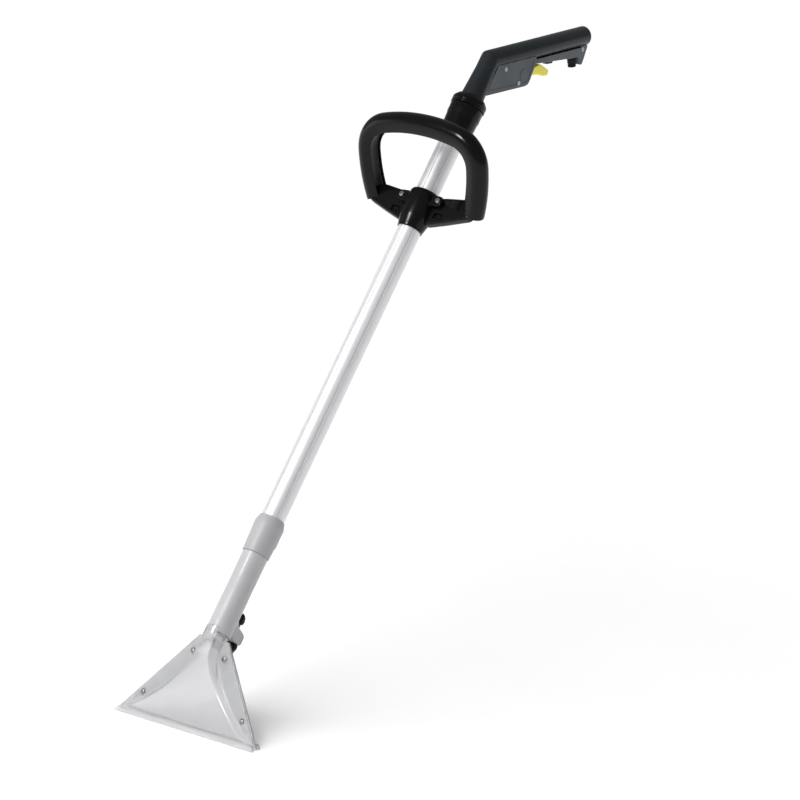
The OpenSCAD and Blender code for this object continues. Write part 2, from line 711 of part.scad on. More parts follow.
module housing_shell(side) difference() {
    intersection() {
        grip() union() {
            difference() {
                union() {
                    slab_x(block_w) polygon(block_outline);
                    slab_x(rail_w) polygon(rail_outline);
                }
                housing_cavity();
            }
            // Bosses for the screws and the trigger's pin
            for (i = [0:2])
                rod_x(housing_screw_at[i], 0.5 - housing_screw_side[i], housing_screw_side[i] - 0.5,
                      housing_boss_d);
            both_sides() rod_x(pivot, trigger_w / 2 + gap, block_w / 2 - 1, trigger_pin_d + 4);
        }
        translate([side > 0 ? 0 : -far, -far, 0]) cube([far, 3 * far, 3 * far]);
    }
    grip_outside();
    grip() {
        at_housing_screws() { rod(-1, 1.2, housing_screw_head_d + 0.2); rod(-1, 15, housing_screw_d); }
        rod_x(pivot, -block_w / 2 + 1, block_w / 2 - 1, trigger_pin_d);
        rod_between([valve_y[0], valve_z], line_exit, line_d);
        inlet() { rod(-6, 8, inlet_d - 3); rod(6, 30, inlet_d + 0.6); }
        translate([feed[0], 0, feed[1]]) rotate([-90, 0, 0]) rod(valve_y[1], inlet_at[0], feed_d + 0.4);
        translate([-feed[0] - 2.6, inlet_at[0] - 4, feed[1] - 4]) cube([2 * feed[0] + 5.2, 8, 9]);
        stop_stem();
    }
}

module housing_left() color("slategray") housing_shell(-1);
module housing_right() color("slategray") housing_shell(1);

module housing_screws() color("gainsboro") grip() at_housing_screws() difference() {
    union() { rod(0.2, 1.2, housing_screw_head_d); rod(1.1, 15, housing_screw_d); }
    rod(0, 0.8, 2);
}

// ---------- trigger and valve ----------

module trigger() color("gold") grip() difference() {
    union() {
        rod_x(pivot, -trigger_w / 2, trigger_w / 2, trigger_pin_d + 5);
        slab_x(trigger_w) polygon([
            [pivot[0], pivot[1] - 3.4], [79, -33.6], [92.5, -35.7], [114, -40.7], [118, -38.4],
            [119.5, -33.8], [116, -31.2], [102.4, -22.7], [98, -22.4], [86, -24],
            [pivot[0], pivot[1] + 3.6]]);
        slab_x(5) polygon([[pivot[0] - 3.6, pivot[1]], [pivot[0] + 3, pivot[1]],
            [pivot[0] - 0.5, valve_z + 2.4], [stem_tip + 0.6, valve_z + 2.4]]);
    }
    rod_x(pivot, -far, far, trigger_pin_d + 2 * run_fit);
}

module trigger_pin() color("silver") grip() rod_x(pivot, -block_w / 2 + 1, block_w / 2 - 1, trigger_pin_d);

function rail_z(y) = rail_front[1] + rail_slope * (y - rail_front[0]);
module stop_stem()
    translate([0, stop_stem_y, 0]) rod(-26, rail_z(stop_stem_y) + housing_wall + 1.4, stop_stem_d);
module trigger_stop() color("black") grip() {
    slab_x(7) polygon([[stop_y[0], rail_z(stop_y[0])], [stop_y[0] + 3.5, -25.4], [stop_y[1] - 1, -25.8],
                       [stop_y[1], -24.8], [stop_y[1], rail_z(stop_y[1])]]);
    stop_stem();
}

// The valve's axis lies along the grip
module along_valve() translate([0, 0, valve_z]) rotate([-90, 0, 0]) children();

module valve_body() color("goldenrod") grip() difference() {
    union() {
        along_valve() rod(valve_y[0], valve_y[1], valve_d);
        translate([feed[0], 0, feed[1]]) rotate([-90, 0, 0]) rod(valve_y[1] - 9, valve_y[1], feed_d + 1.2);
        translate([0, valve_y[1] - 9, valve_z]) cube([feed[0] + 2, 9, feed[1] - valve_z]);
    }
    along_valve() rod(valve_y[0] + 2, valve_y[1] - 5, 7);
    along_valve() rod(valve_y[0] + 2, valve_y[1] + 1, stem_d + 2 * run_fit);
    along_valve() rod(valve_y[0] - 1, valve_y[0] + 3, 3);
    translate([feed[0], 0, feed[1]]) rotate([-90, 0, 0]) rod(valve_y[1] - 5, valve_y[1] + 1, feed_d);
}

module valve_stem() color("silver") grip() along_valve() {
    rod(valve_y[0] + 7, stem_tip, stem_d);
    rod(valve_y[0] + 7, valve_y[0] + 11, 7 - 2 * run_fit);
}

module valve_spring() color("silver") grip() along_valve()
    translate([0, 0, valve_y[0] + 2.5]) coil(2.3, 0.6, 4, 3);

module feed_line() color("dimgray") grip() translate([feed[0], 0, feed[1]]) rotate([-90, 0, 0]) difference() {
    rod(valve_y[1] - 5, inlet_at[0] - 1, feed_d);
    rod(valve_y[1] - 6, inlet_at[0], feed_d - 1.6);
}

// From the valve, through the leg's wall and down inside the tube to the jet
module solution_line() color("dimgray") {
    wand() translate([0, line_n, 0]) rod(line_s0, line_exit_s, line_d);
    grip() translate([0, line_exit[0], line_exit[1]]) sphere(d = line_d + bead);
    grip() difference() {
        rod_between(line_exit, [valve_y[0], valve_z], line_d);
        along_valve() rod(valve_y[0], valve_y[1], valve_d + 2);
    }
}

module inlet() translate([0, inlet_at[0], inlet_at[1]]) rotate([180 + inlet_tilt, 0, 0]) children();

module solution_inlet() color("black") grip() difference() {
    union() {
        inlet() {
            rod(-1, 8, inlet_d - 3);
            rod(6.2, 15, inlet_d);
            rod(14.9, 17, inlet_d - 2);
            rod(16.9, 20, inlet_d - 0.6);
        }
        translate([-feed[0] - 2.6, inlet_at[0] - 4, feed[1] - 4]) cube([2 * feed[0] + 5.2, 8, 5.9]);
    }
    inlet() rod(3, 21, inlet_bore);
    inlet() rod(-1.5, 3.1, 2.4);
    translate([feed[0], inlet_at[0] - 5, feed[1]]) rotate([-90, 0, 0]) rod(0, 4, feed_d);
}

head_front_shell();
head_rear_shell();
head_gasket();
head_screws();
neck();
neck_seal();
jet_elbow();
jet_stem();
jet_cap();
jet_tip();
tube_sleeve();
tube_seal();
tube_latch();
latch_pin();
latch_spring();
suction_tube();
d_handle();
clamp_shell();
clamp_screws();
clamp_nuts();
union_sleeve();
union_nut();
union_seal();
elbow_grip();
housing_left();
housing_right();
housing_screws();
trigger();
trigger_pin();
trigger_stop();
valve_body();
valve_stem();
valve_spring();
feed_line();
solution_line();
solution_inlet();
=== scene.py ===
"""Spray-extraction floor wand for a carpet cleaner, built round its packed mechanical model.

Clear suction head, grey neck with the spray jet, aluminium tube, clamped D-handle and a bent grip
with the solution valve and its yellow trigger. Pieces are shaped in millimetres and then set down
in the model's frame: +X is the wand's right, +Y points back to the user, +Z is up.
"""

import json
import math

import bmesh
import bpy
from bpy.props import FloatProperty, FloatVectorProperty, IntProperty, PointerProperty
from bpy.types import Operator, Panel, PropertyGroup
from mathutils import Matrix, Vector


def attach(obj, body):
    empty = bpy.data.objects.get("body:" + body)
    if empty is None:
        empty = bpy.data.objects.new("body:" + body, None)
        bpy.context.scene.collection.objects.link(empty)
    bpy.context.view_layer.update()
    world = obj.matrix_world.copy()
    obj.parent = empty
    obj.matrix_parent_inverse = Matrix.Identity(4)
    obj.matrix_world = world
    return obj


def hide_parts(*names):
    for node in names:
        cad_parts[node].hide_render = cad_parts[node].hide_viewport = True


bl_info = {
    "name": "Carpet Cleaner Floor Wand",
    "version": (1, 0, 0),
    "blender": (4, 5, 0),
    "location": "View3D > Sidebar > Floor Wand",
    "description": "Builds the looks of a spray-extraction floor wand, piece by piece",
    "category": "Object",
}

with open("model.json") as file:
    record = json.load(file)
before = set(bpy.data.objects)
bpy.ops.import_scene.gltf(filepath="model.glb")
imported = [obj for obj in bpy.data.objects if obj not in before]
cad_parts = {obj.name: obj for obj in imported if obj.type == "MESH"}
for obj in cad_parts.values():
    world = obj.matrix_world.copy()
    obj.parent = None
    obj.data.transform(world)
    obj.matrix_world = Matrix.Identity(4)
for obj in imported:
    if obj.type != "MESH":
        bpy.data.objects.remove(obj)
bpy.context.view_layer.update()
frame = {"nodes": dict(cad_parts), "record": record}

MM = 0.001

# Stance of the wand
LEAN = math.radians(40)
HEAD_LEAN = math.radians(28.4)
JOIN_H = 104.4
JOIN = Vector((0, JOIN_H * math.sin(HEAD_LEAN), JOIN_H * math.cos(HEAD_LEAN)))
AXIS = Vector((0, math.sin(LEAN), math.cos(LEAN)))

# Stations along the tube's axis, counted up from where it crosses the flange
RIM_S = 27
NECK_TOP_S = 142
TUBE_S0 = 152
TUBE_S1 = 797
SLEEVE_S1 = 185
SLEEVE_TOP_S = 195
UNION_S0 = 760
UNION_S1 = 817
NUT_TOP_S = 832
BEND_S = 893.2
CLAMP_S0 = 629
CLAMP_S1 = 685
LOOP_S = 679
BEND = JOIN + AXIS * BEND_S

# Frames that the pieces are shaped in
WAND = Matrix.Translation(JOIN) @ Matrix.Rotation(-LEAN, 4, "X")
HEAD = Matrix.Rotation(-HEAD_LEAN, 4, "X")
GRIP = Matrix.Translation(BEND)
LOOP_TILT = math.radians(44.5)
LOOP = WAND @ Matrix.Translation((0, 0, LOOP_S)) @ Matrix.Rotation(LOOP_TILT, 4, "X")


# ---------- sizes and colours ----------


class WandSizes(PropertyGroup):
    """Sizes that change the looks of the wand's pieces."""

    lip_height: FloatProperty(
        name="Lip height", description="Height of the clear head's front lip",
        default=0.009, min=0.006, max=0.012, unit="LENGTH")
    duct_rise: FloatProperty(
        name="Duct rise", description="How far the duct stands in front of the flange at its mouth",
        default=0.0052, min=0.003, max=0.008, unit="LENGTH")
    shell_wall: FloatProperty(
        name="Shell wall", description="Wall of the clear shells",
        default=0.0024, min=0.0016, max=0.003, unit="LENGTH")
    neck_diameter: FloatProperty(
        name="Neck diameter", description="Outside diameter of the grey neck",
        default=0.0345, min=0.033, max=0.036, unit="LENGTH")
    bar_diameter: FloatProperty(
        name="Loop bar diameter", description="Outside diameter of the D-handle's bar",
        default=0.0266, min=0.024, max=0.028, unit="LENGTH")
    clamp_diameter: FloatProperty(
        name="Clamp diameter", description="Outside diameter of the clamp's barrel",
        default=0.043, min=0.04, max=0.046, unit="LENGTH")
    nut_diameter: FloatProperty(
        name="Union nut diameter", description="Outside diameter of the union nut",
        default=0.0485, min=0.047, max=0.05, unit="LENGTH")
    grip_diameter: FloatProperty(
        name="Grip diameter", description="Outside diameter of the hand grip",
        default=0.027, min=0.025, max=0.0272, unit="LENGTH")
    edge_round: FloatProperty(
        name="Edge rounding", description="Radius of the moulded edges",
        default=0.0009, min=0.0002, max=0.0015, unit="LENGTH")
    turned_sides: IntProperty(
        name="Sides", description="Facets round a turned piece", default=96, min=24, max=192)


class WandColors(PropertyGroup):
    """Colours of the wand's finishes."""

    clear: FloatVectorProperty(
        name="Clear shells", description="Tint of the clear plastic", subtype="COLOR",
        size=4, default=(0.99, 0.99, 1.0, 1), min=0, max=1)
    light_grey: FloatVectorProperty(
        name="Neck", description="Light grey plastic of the neck", subtype="COLOR",
        size=4, default=(0.51, 0.51, 0.525, 1), min=0, max=1)
    grey: FloatVectorProperty(
        name="Sleeve", description="Grey plastic of the lower sleeve", subtype="COLOR",
        size=4, default=(0.44, 0.44, 0.455, 1), min=0, max=1)
    black: FloatVectorProperty(
        name="Handle", description="Black plastic of the D-handle and union", subtype="COLOR",
        size=4, default=(0.004, 0.004, 0.0045, 1), min=0, max=1)
    slate: FloatVectorProperty(
        name="Grip", description="Slate plastic of the bent grip", subtype="COLOR",
        size=4, default=(0.020, 0.024, 0.027, 1), min=0, max=1)
    housing: FloatVectorProperty(
        name="Valve housing", description="Grey plastic of the valve housing", subtype="COLOR",
        size=4, default=(0.105, 0.118, 0.130, 1), min=0, max=1)
    trigger: FloatVectorProperty(
        name="Trigger", description="Yellow plastic of the trigger", subtype="COLOR",
        size=4, default=(1.0, 0.90, 0.08, 1), min=0, max=1)
    floor: FloatVectorProperty(
        name="Floor", description="Pale floor", subtype="COLOR",
        size=4, default=(0.985, 0.985, 0.985, 1), min=0, max=1)


def size(name):
    """A size in millimetres."""
    return getattr(bpy.context.scene.wand_sizes, name) / MM


def color(name):
    return tuple(getattr(bpy.context.scene.wand_colors, name))


# ---------- finishes ----------


def shade(c, k):
    return (min(1, c[0] * k), min(1, c[1] * k), min(1, c[2] * k), 1)


def new_finish(name):
    """A finish and its shader; the nodes are None if the finish was made before.

    The mechanical model brings plain materials with the slots' own names, so a finish has another.
    """
    mat = bpy.data.materials.get(name + "_finish")
    if mat:
        return mat, None, None, None
    mat = bpy.data.materials.new(name + "_finish")
    mat.use_nodes = True
    nodes, links = mat.node_tree.nodes, mat.node_tree.links
    shader = nodes["Principled BSDF"]
    return mat, nodes, links, shader


def pattern(nodes, links, scale, detail=3, stretch=None, turn=0.0, rough=0.5):
    """A noise on the piece's own coordinates, stretched along its length if asked."""
    coords = nodes.new("ShaderNodeTexCoord")
    noise = nodes.new("ShaderNodeTexNoise")
    noise.inputs["Scale"].default_value = scale
    noise.inputs["Detail"].default_value = detail
    noise.inputs["Roughness"].default_value = rough
    source = coords.outputs["Object"]
    if stretch:
        upright = nodes.new("ShaderNodeMapping")
        upright.inputs["Rotation"].default_value = (turn, 0, 0)
        links.new(source, upright.inputs["Vector"])
        squeeze = nodes.new("ShaderNodeMapping")
        squeeze.inputs["Scale"].default_value = stretch
        links.new(upright.outputs["Vector"], squeeze.inputs["Vector"])
        source = squeeze.outputs["Vector"]
    links.new(source, noise.inputs["Vector"])
    return noise.outputs["Fac"]


def ramp(nodes, links, value, low, high, lo_at=0.35, hi_at=0.65):
    """Two colours that the pattern runs between."""
    node = nodes.new("ShaderNodeValToRGB")
    node.color_ramp.elements[0].position = lo_at
    node.color_ramp.elements[0].color = low
    node.color_ramp.elements[1].position = hi_at
    node.color_ramp.elements[1].color = high
    links.new(value, node.inputs["Fac"])
    return node.outputs["Color"]


def spread(nodes, links, value, low, high):
    """The pattern as a number between low and high."""
    node = nodes.new("ShaderNodeMapRange")
    node.inputs["From Min"].default_value = 0.3
    node.inputs["From Max"].default_value = 0.7
    node.inputs["To Min"].default_value = low
    node.inputs["To Max"].default_value = high
    links.new(value, node.inputs["Value"])
    return node.outputs["Result"]


def bump(nodes, links, shader, value, strength, height):
    node = nodes.new("ShaderNodeBump")
    node.inputs["Strength"].default_value = strength
    node.inputs["Distance"].default_value = height
    links.new(value, node.inputs["Height"])
    links.new(node.outputs["Normal"], shader.inputs["Normal"])


def moulded(name, base, rough=(0.35, 0.5), grain=900, grain_depth=0.00005, coat=0.0, mottle=0.06,
            shine=0.5):
    """Moulded plastic: fine grain, faint flow mottling and uneven gloss."""
    mat, nodes, links, shader = new_finish(name)
    if nodes is None:
        return mat
    broad = pattern(nodes, links, 22, 4)
    fine = pattern(nodes, links, grain, 2)
    links.new(ramp(nodes, links, broad, shade(base, 1 - mottle), shade(base, 1 + mottle)),
              shader.inputs["Base Color"])
    links.new(spread(nodes, links, pattern(nodes, links, 60, 5), *rough), shader.inputs["Roughness"])
    bump(nodes, links, shader, fine, 0.6, grain_depth)
    shader.inputs["Specular IOR Level"].default_value = shine
    shader.inputs["Coat Weight"].default_value = coat
    shader.inputs["Coat Roughness"].default_value = 0.08
    return mat


def clear_plastic():
    """Clear moulded plastic with faint flow lines and rubbed gloss, and painted shade that darkens it to half where its
    surface turns away from view.
    """
    mat, nodes, links, shader = new_finish("clear_plastic")
    if nodes is None:
        return mat
    base = color("clear")
    flow = pattern(nodes, links, 30, 4, stretch=(1, 1, 0.25), turn=HEAD_LEAN)
    # Painted shade: where the surface turns away from view the colour darkens to half, which draws grey outlines along
    # the clear shells' edges.
    painted_edge_shade = nodes.new("ShaderNodeLayerWeight")
    painted_edge_shade.inputs["Blend"].default_value = 0.35
    painted_shade_mix = nodes.new("ShaderNodeMixRGB")
    links.new(painted_edge_shade.outputs["Facing"], painted_shade_mix.inputs["Fac"])
    links.new(ramp(nodes, links, flow, shade(base, 0.97), shade(base, 1.0)), painted_shade_mix.inputs["Color1"])
    painted_shade_mix.inputs["Color2"].default_value = shade(base, 0.5)
    links.new(painted_shade_mix.outputs["Color"], shader.inputs["Base Color"])
    links.new(spread(nodes, links, pattern(nodes, links, 90, 5), 0.05, 0.14), shader.inputs["Roughness"])
    bump(nodes, links, shader, flow, 0.25, 0.0002)
    shader.inputs["Transmission Weight"].default_value = 0.72
    shader.inputs["IOR"].default_value = 1.46
    shader.inputs["Specular IOR Level"].default_value = 0.5
    return mat


def drawn_metal(name, base, rough, stretch, turn, lines, depth, metallic=1.0):
    """Metal with fine lines along its length."""
    mat, nodes, links, shader = new_finish(name)
    if nodes is None:
        return mat
    streaks = pattern(nodes, links, lines, 3, stretch=stretch, turn=turn, rough=0.6)
    links.new(ramp(nodes, links, streaks, shade(base, 0.93), shade(base, 1.03)),
              shader.inputs["Base Color"])
    links.new(spread(nodes, links, streaks, *rough), shader.inputs["Roughness"])
    bump(nodes, links, shader, streaks, 0.35, depth)
    shader.inputs["Metallic"].default_value = metallic
    return mat


def soft_rubber(name, base, see_through=0.0):
    mat, nodes, links, shader = new_finish(name)
    if nodes is None:
        return mat
    links.new(ramp(nodes, links, pattern(nodes, links, 70, 4), shade(base, 0.85), shade(base, 1.15)),
              shader.inputs["Base Color"])
    links.new(spread(nodes, links, pattern(nodes, links, 300, 3), 0.6, 0.8), shader.inputs["Roughness"])
    bump(nodes, links, shader, pattern(nodes, links, 1200, 2), 0.5, 0.00006)
    shader.inputs["Transmission Weight"].default_value = see_through
    return mat


def finish_for(slot):
    """The finish of one of the record's material slots."""
    makers = {
        "clear_plastic": clear_plastic,
        "clear_seal": lambda: soft_rubber("clear_seal", (0.85, 0.86, 0.88, 1), 0.6),
        "light_grey_plastic": lambda: moulded(
            "light_grey_plastic", color("light_grey"), (0.38, 0.5), coat=0.1, mottle=0.03),
        "grey_plastic": lambda: moulded("grey_plastic", color("grey"), (0.42, 0.55), mottle=0.03),
        "black_plastic": lambda: moulded(
            "black_plastic", color("black"), (0.16, 0.24), 500, 0.00001, mottle=0.2, shine=0.2),
        "black_trim": lambda: moulded("black_trim", (0.008, 0.008, 0.009, 1), (0.35, 0.5), mottle=0.2, shine=0.12),
        "slate_plastic": lambda: moulded(
            "slate_plastic", color("slate"), (0.24, 0.32), 1100, 0.00003, shine=0.16),
        "housing_plastic": lambda: moulded(
            "housing_plastic", color("housing"), (0.45, 0.6), 1400, 0.00009, mottle=0.08, shine=0.25),
        "yellow_plastic": lambda: moulded(
            "yellow_plastic", color("trigger"), (0.3, 0.4), 700, 0.00003, coat=0.2, mottle=0.04),
        "aluminium": lambda: drawn_metal(
            "aluminium", (0.86, 0.865, 0.88, 1), (0.42, 0.52), (1, 1, 0.01), LEAN, 700, 0.00004,
            metallic=0.45),
        "steel": lambda: drawn_metal(
            "steel", (0.40, 0.40, 0.42, 1), (0.25, 0.4), (1, 1, 1), 0.0, 900, 0.00003),
        "brass": lambda: drawn_metal(
            "brass", (0.78, 0.58, 0.26, 1), (0.25, 0.4), (1, 1, 0.3), LEAN, 900, 0.00003),
        "rubber": lambda: soft_rubber("rubber", (0.02, 0.02, 0.02, 1)),
        "hose_plastic": lambda: moulded("hose_plastic", (0.03, 0.03, 0.033, 1), (0.4, 0.55)),
    }
    return makers[slot]()


# ---------- shaping ----------


def only(obj):
    """Selects one object and nothing else."""
    bpy.ops.object.select_all(action="DESELECT")
    obj.select_set(True)
    bpy.context.view_layer.objects.active = obj


def edit(obj):
    only(obj)
    bpy.ops.object.mode_set(mode="EDIT")
    bpy.ops.mesh.select_mode(type="VERT")
    bpy.ops.mesh.select_all(action="SELECT")


def done():
    bpy.ops.object.mode_set(mode="OBJECT")


def pick_faces(obj, test):
    """Selects the faces that pass the test and nothing else, in edit mode."""
    bpy.ops.mesh.select_mode(type="FACE")
    bpy.ops.mesh.select_all(action="DESELECT")
    mesh = bmesh.from_edit_mesh(obj.data)
    for face in mesh.faces:
        face.select = test(face)
    mesh.select_flush(True)
    bmesh.update_edit_mesh(obj.data)


def close_ends():
    """Fills the open ends of a tube, in edit mode."""
    bpy.ops.mesh.select_mode(type="EDGE")
    bpy.ops.mesh.select_all(action="DESELECT")
    bpy.ops.mesh.select_non_manifold(
        use_wire=False, use_multi_face=False, use_non_contiguous=False, use_verts=False)
    bpy.ops.mesh.fill()
    bpy.ops.mesh.dissolve_faces()
    bpy.ops.mesh.select_all(action="SELECT")


def tidy_faces(obj):
    """Merges doubles and turns the faces outwards."""
    edit(obj)
    bpy.ops.mesh.remove_doubles(threshold=0.0005)
    bpy.ops.mesh.normals_make_consistent(inside=False)
    done()


def modify(obj, kind, **values):
    """Adds a modifier, sets it and applies it."""
    only(obj)
    modifier = obj.modifiers.new(kind.title(), kind)
    for key, value in values.items():
        setattr(modifier, key, value)
    bpy.ops.object.modifier_apply(modifier=modifier.name)


def soften(obj, width, segments=3, angle=35):
    """Rounds the sharp edges."""
    modify(obj, "BEVEL", width=width, segments=segments, limit_method="ANGLE",
           angle_limit=math.radians(angle), miter_outer="MITER_ARC", harden_normals=False)


def combine(obj, tool, operation, solver="EXACT"):
    """A boolean; the exact solver sometimes loses the whole mesh, and then the fast one does it."""
    kept = obj.data.copy()
    modify(obj, "BOOLEAN", object=tool, operation=operation, solver=solver)
    if not obj.data.polygons:
        obj.data = kept
        modify(obj, "BOOLEAN", object=tool, operation=operation, solver="FAST")
    bpy.data.objects.remove(tool)


def cut(obj, tool, solver="EXACT"):
    combine(obj, tool, "DIFFERENCE", solver)


def keep_common(obj, tool):
    combine(obj, tool, "INTERSECT")


def weld(obj, *others):
    """Makes several solids one."""
    for other in others:
        combine(obj, other, "UNION")


def join_into(obj, other):
    """Adds a separate solid to a piece."""
    bpy.ops.object.select_all(action="DESELECT")
    other.select_set(True)
    obj.select_set(True)
    bpy.context.view_layer.objects.active = obj
    bpy.ops.object.join()


def ring(radius, height, sides, rotation=(0, 0, 0), at=(0, 0, 0)):
    """A circle, the start of a turned piece."""
    bpy.ops.object.select_all(action="DESELECT")
    bpy.ops.mesh.primitive_circle_add(
        vertices=sides, radius=radius, location=Vector(at) + Vector((0, 0, height)), rotation=rotation)
    obj = bpy.context.object
    bpy.ops.object.transform_apply(location=True, rotation=True, scale=True)
    return obj


def turned(profile, sides=None):
    """Turns a closed outline of (radius, height) corners about local Z."""
    radius, height = profile[0]
    obj = ring(radius, height, sides or bpy.context.scene.wand_sizes.turned_sides)
    edit(obj)
    for r, h in profile[1:] + profile[:1]:
        bpy.ops.mesh.extrude_region_move(TRANSFORM_OT_translate={"value": (0, 0, h - height)})
        bpy.ops.transform.resize(value=(r / radius, r / radius, 1), center_override=(0, 0, h))
        radius, height = r, h
    done()
    tidy_faces(obj)
    return obj


def plug(radius, h0, h1, at=(0, 0), sides=48, top=None):
    """A round boss or a drill along local Z, tapered if top is given."""
    bpy.ops.object.select_all(action="DESELECT")
    bpy.ops.mesh.primitive_cone_add(
        vertices=sides, radius1=radius, radius2=radius if top is None else top, depth=h1 - h0,
        location=(at[0], at[1], (h0 + h1) / 2))
    obj = bpy.context.object
    bpy.ops.object.transform_apply(location=True, rotation=True, scale=True)
    return obj


def turn_to(obj, axis):
    """Turns a piece from local Z to local X or Y."""
    obj.matrix_world = {"X": Matrix.Rotation(math.radians(90), 4, "Y"),
                        "Y": Matrix.Rotation(math.radians(-90), 4, "X")}[axis] @ obj.matrix_world
    only(obj)
    bpy.ops.object.transform_apply(location=True, rotation=True, scale=True)
    return obj


def shift(obj, offset):
    obj.location = obj.location + Vector(offset)
    only(obj)
    bpy.ops.object.transform_apply(location=True, rotation=True, scale=True)
    return obj


def rounded(outline, radius, steps=5):
    """Rounds the corners of an outline; radius is one number or one for each corner."""
    radii = radius if isinstance(radius, (list, tuple)) else [radius] * len(outline)
    points = []
    count = len(outline)
    for i, (corner, r) in enumerate(zip(outline, radii)):
        p = Vector(corner)
        a, b = Vector(outline[i - 1]) - p, Vector(outline[(i + 1) % count]) - p
        half = a.angle(b) / 2
        reach = min(r / math.tan(half), a.length * 0.48, b.length * 0.48) if r > 0 else 0
        if reach < 0.05 or half > math.radians(88):
            points.append(tuple(p))
            continue
        start, end = p + a.normalized() * reach, p + b.normalized() * reach
        for k in range(steps + 1):
            t = k / steps
            points.append(tuple(start * (1 - t) ** 2 + p * 2 * t * (1 - t) + end * t ** 2))
    return points


def plate(outline, across, lo, hi, soft=0.0, segments=3):
    """A slab: the outline lies in the plane across X, Y or Z, and is drawn out from lo to hi."""
    bpy.ops.object.select_all(action="DESELECT")
    bpy.ops.mesh.primitive_circle_add(vertices=len(outline), fill_type="NGON")
    obj = bpy.context.object
    place = {"X": lambda a, b: (lo, a, b), "Y": lambda a, b: (a, lo, b), "Z": lambda a, b: (a, b, lo)}
    for vertex, corner in zip(obj.data.vertices, outline):
        vertex.co = place[across](*corner)
    edit(obj)
    step = Vector([(hi - lo) * (axis == across) for axis in "XYZ"])
    bpy.ops.mesh.extrude_region_move(TRANSFORM_OT_translate={"value": step})
    bpy.ops.mesh.select_all(action="SELECT")
    bpy.ops.mesh.normals_make_consistent(inside=False)
    done()
    if soft:
        soften(obj, soft, segments, 40)
    return obj


def box(lo, hi):
    """A block between two corners, for cuts."""
    bpy.ops.object.select_all(action="DESELECT")
    lo, hi = Vector(map(min, lo, hi)), Vector(map(max, lo, hi))
    bpy.ops.mesh.primitive_cube_add(size=1, location=(lo + hi) / 2, scale=hi - lo)
    obj = bpy.context.object
    bpy.ops.object.transform_apply(location=True, rotation=True, scale=True)
    return obj


def offset_outline(outline, inward):
    """Moves an anticlockwise outline's sides inwards."""
    points = []
    count = len(outline)
    for i in range(count):
        a, b, c = (Vector(outline[k % count]) for k in (i - 1, i, i + 1))
        u = Vector((a.y - b.y, b.x - a.x)).normalized()
        v = Vector((b.y - c.y, c.x - b.x)).normalized()
        points.append(tuple(b + (u + v) * inward / (1 + u.dot(v))))
    return points


def set_down(obj, name, place, body, slot, nodes=(), angle=32):
    """Scales a finished piece to metres, puts it in the model's frame and gives it its finish."""
    obj.name = name
    obj.data.name = name
    obj.matrix_world = Matrix.Scale(MM, 4) @ place @ obj.matrix_world
    only(obj)
    bpy.ops.object.transform_apply(location=True, rotation=True, scale=True)
    bpy.ops.object.shade_smooth_by_angle(angle=math.radians(angle))
    obj.data.materials.clear()
    obj.data.materials.append(finish_for(slot))
    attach(obj, body)
    if nodes:
        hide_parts(*nodes)
    return obj


def copy_of(node, soft, segments=2, angle=35):
    """A welded copy of a mechanical node, in millimetres, with its edges rounded."""
    bpy.ops.object.select_all(action="DESELECT")
    source = frame["nodes"][node]
    obj = bpy.data.objects.new(node + "_shape", source.data.copy())
    bpy.context.scene.collection.objects.link(obj)
    obj.data.materials.clear()
    obj.matrix_world = Matrix.Scale(1 / MM, 4)
    only(obj)
    bpy.ops.object.transform_apply(location=True, rotation=True, scale=True)
    edit(obj)
    bpy.ops.mesh.remove_doubles(threshold=0.002)
    bpy.ops.mesh.dissolve_limited(angle_limit=math.radians(1.0))
    done()
    if soft:
        soften(obj, soft, segments, angle)
    return obj


WORLD = Matrix.Identity(4)


# ---------- suction head ----------

HEAD_W = 240
HEAD_H = 124
HEAD_TOP_W = 48
THROAT_H = 118.6
THROAT_HW = 13.3
MOUTH_HW = 112
FLARE = 1.74
SPIGOT_R = 14.95
REAR_FRONT = 3.0
FLANGE_BACK = 5.4
FRONT_LIP = 3.5
MOUTH_BACK = 8.8
SCREWS_AT = ((27.2, 101.5), (85.9, 32.1))
SPIGOT_TILT = LEAN - HEAD_LEAN
SPIGOT_SLOPE = math.tan(SPIGOT_TILT)
REAR_RISE = 4.6


def duct_half_width(h, lip):
    """Half width of the duct where it meets the flange."""
    u = min(1, max(0, (THROAT_H - h) / (THROAT_H - lip)))
    return THROAT_HW + (MOUTH_HW - THROAT_HW) * u ** FLARE


def ease(t):
    t = min(1, max(0, t))
    return t * t * (3 - 2 * t)


def flange_half_width(h):
    return HEAD_W / 2 if h < 3 else HEAD_W / 2 + (HEAD_TOP_W / 2 - HEAD_W / 2) * (h - 3) / (HEAD_H - 3)


def duct_wall(x, h, width):
    """0 on the flange, 1 on the duct's face, and rounded between."""
    lip = size("lip_height")
    half = duct_half_width(h, lip)
    slope = math.hypot(1, (duct_half_width(h - 1, lip) - duct_half_width(h + 1, lip)) / 2)
    return ease((half - abs(x)) / slope / width)


def dome(x):
    return math.sqrt(max(0, 1 - (x / (SPIGOT_R + 0.3)) ** 2))


def front_stand(x, h):
    """How far the front shell stands in front of the flange."""
    lip, rise = size("lip_height"), size("duct_rise")
    up = ease((h - lip) / (JOIN_H - lip))
    depth = rise + (SPIGOT_R + 0.3 - rise) * up ** 1.8 - SPIGOT_SLOPE * max(0, h - JOIN_H)
    to_dome = 0.45 * ease((h - 100) / 16)
    shape = (1 - to_dome) * duct_wall(x, h, 6.5 - 1.5 * up) + to_dome * dome(x)
    shape *= 0.4 + 0.6 * ease((h - lip - 0.5) / 4)
    band = FRONT_LIP * (1 - ease((h - lip + 1.2) / 1.6))
    return max(depth * shape * (h > lip - 1), band)


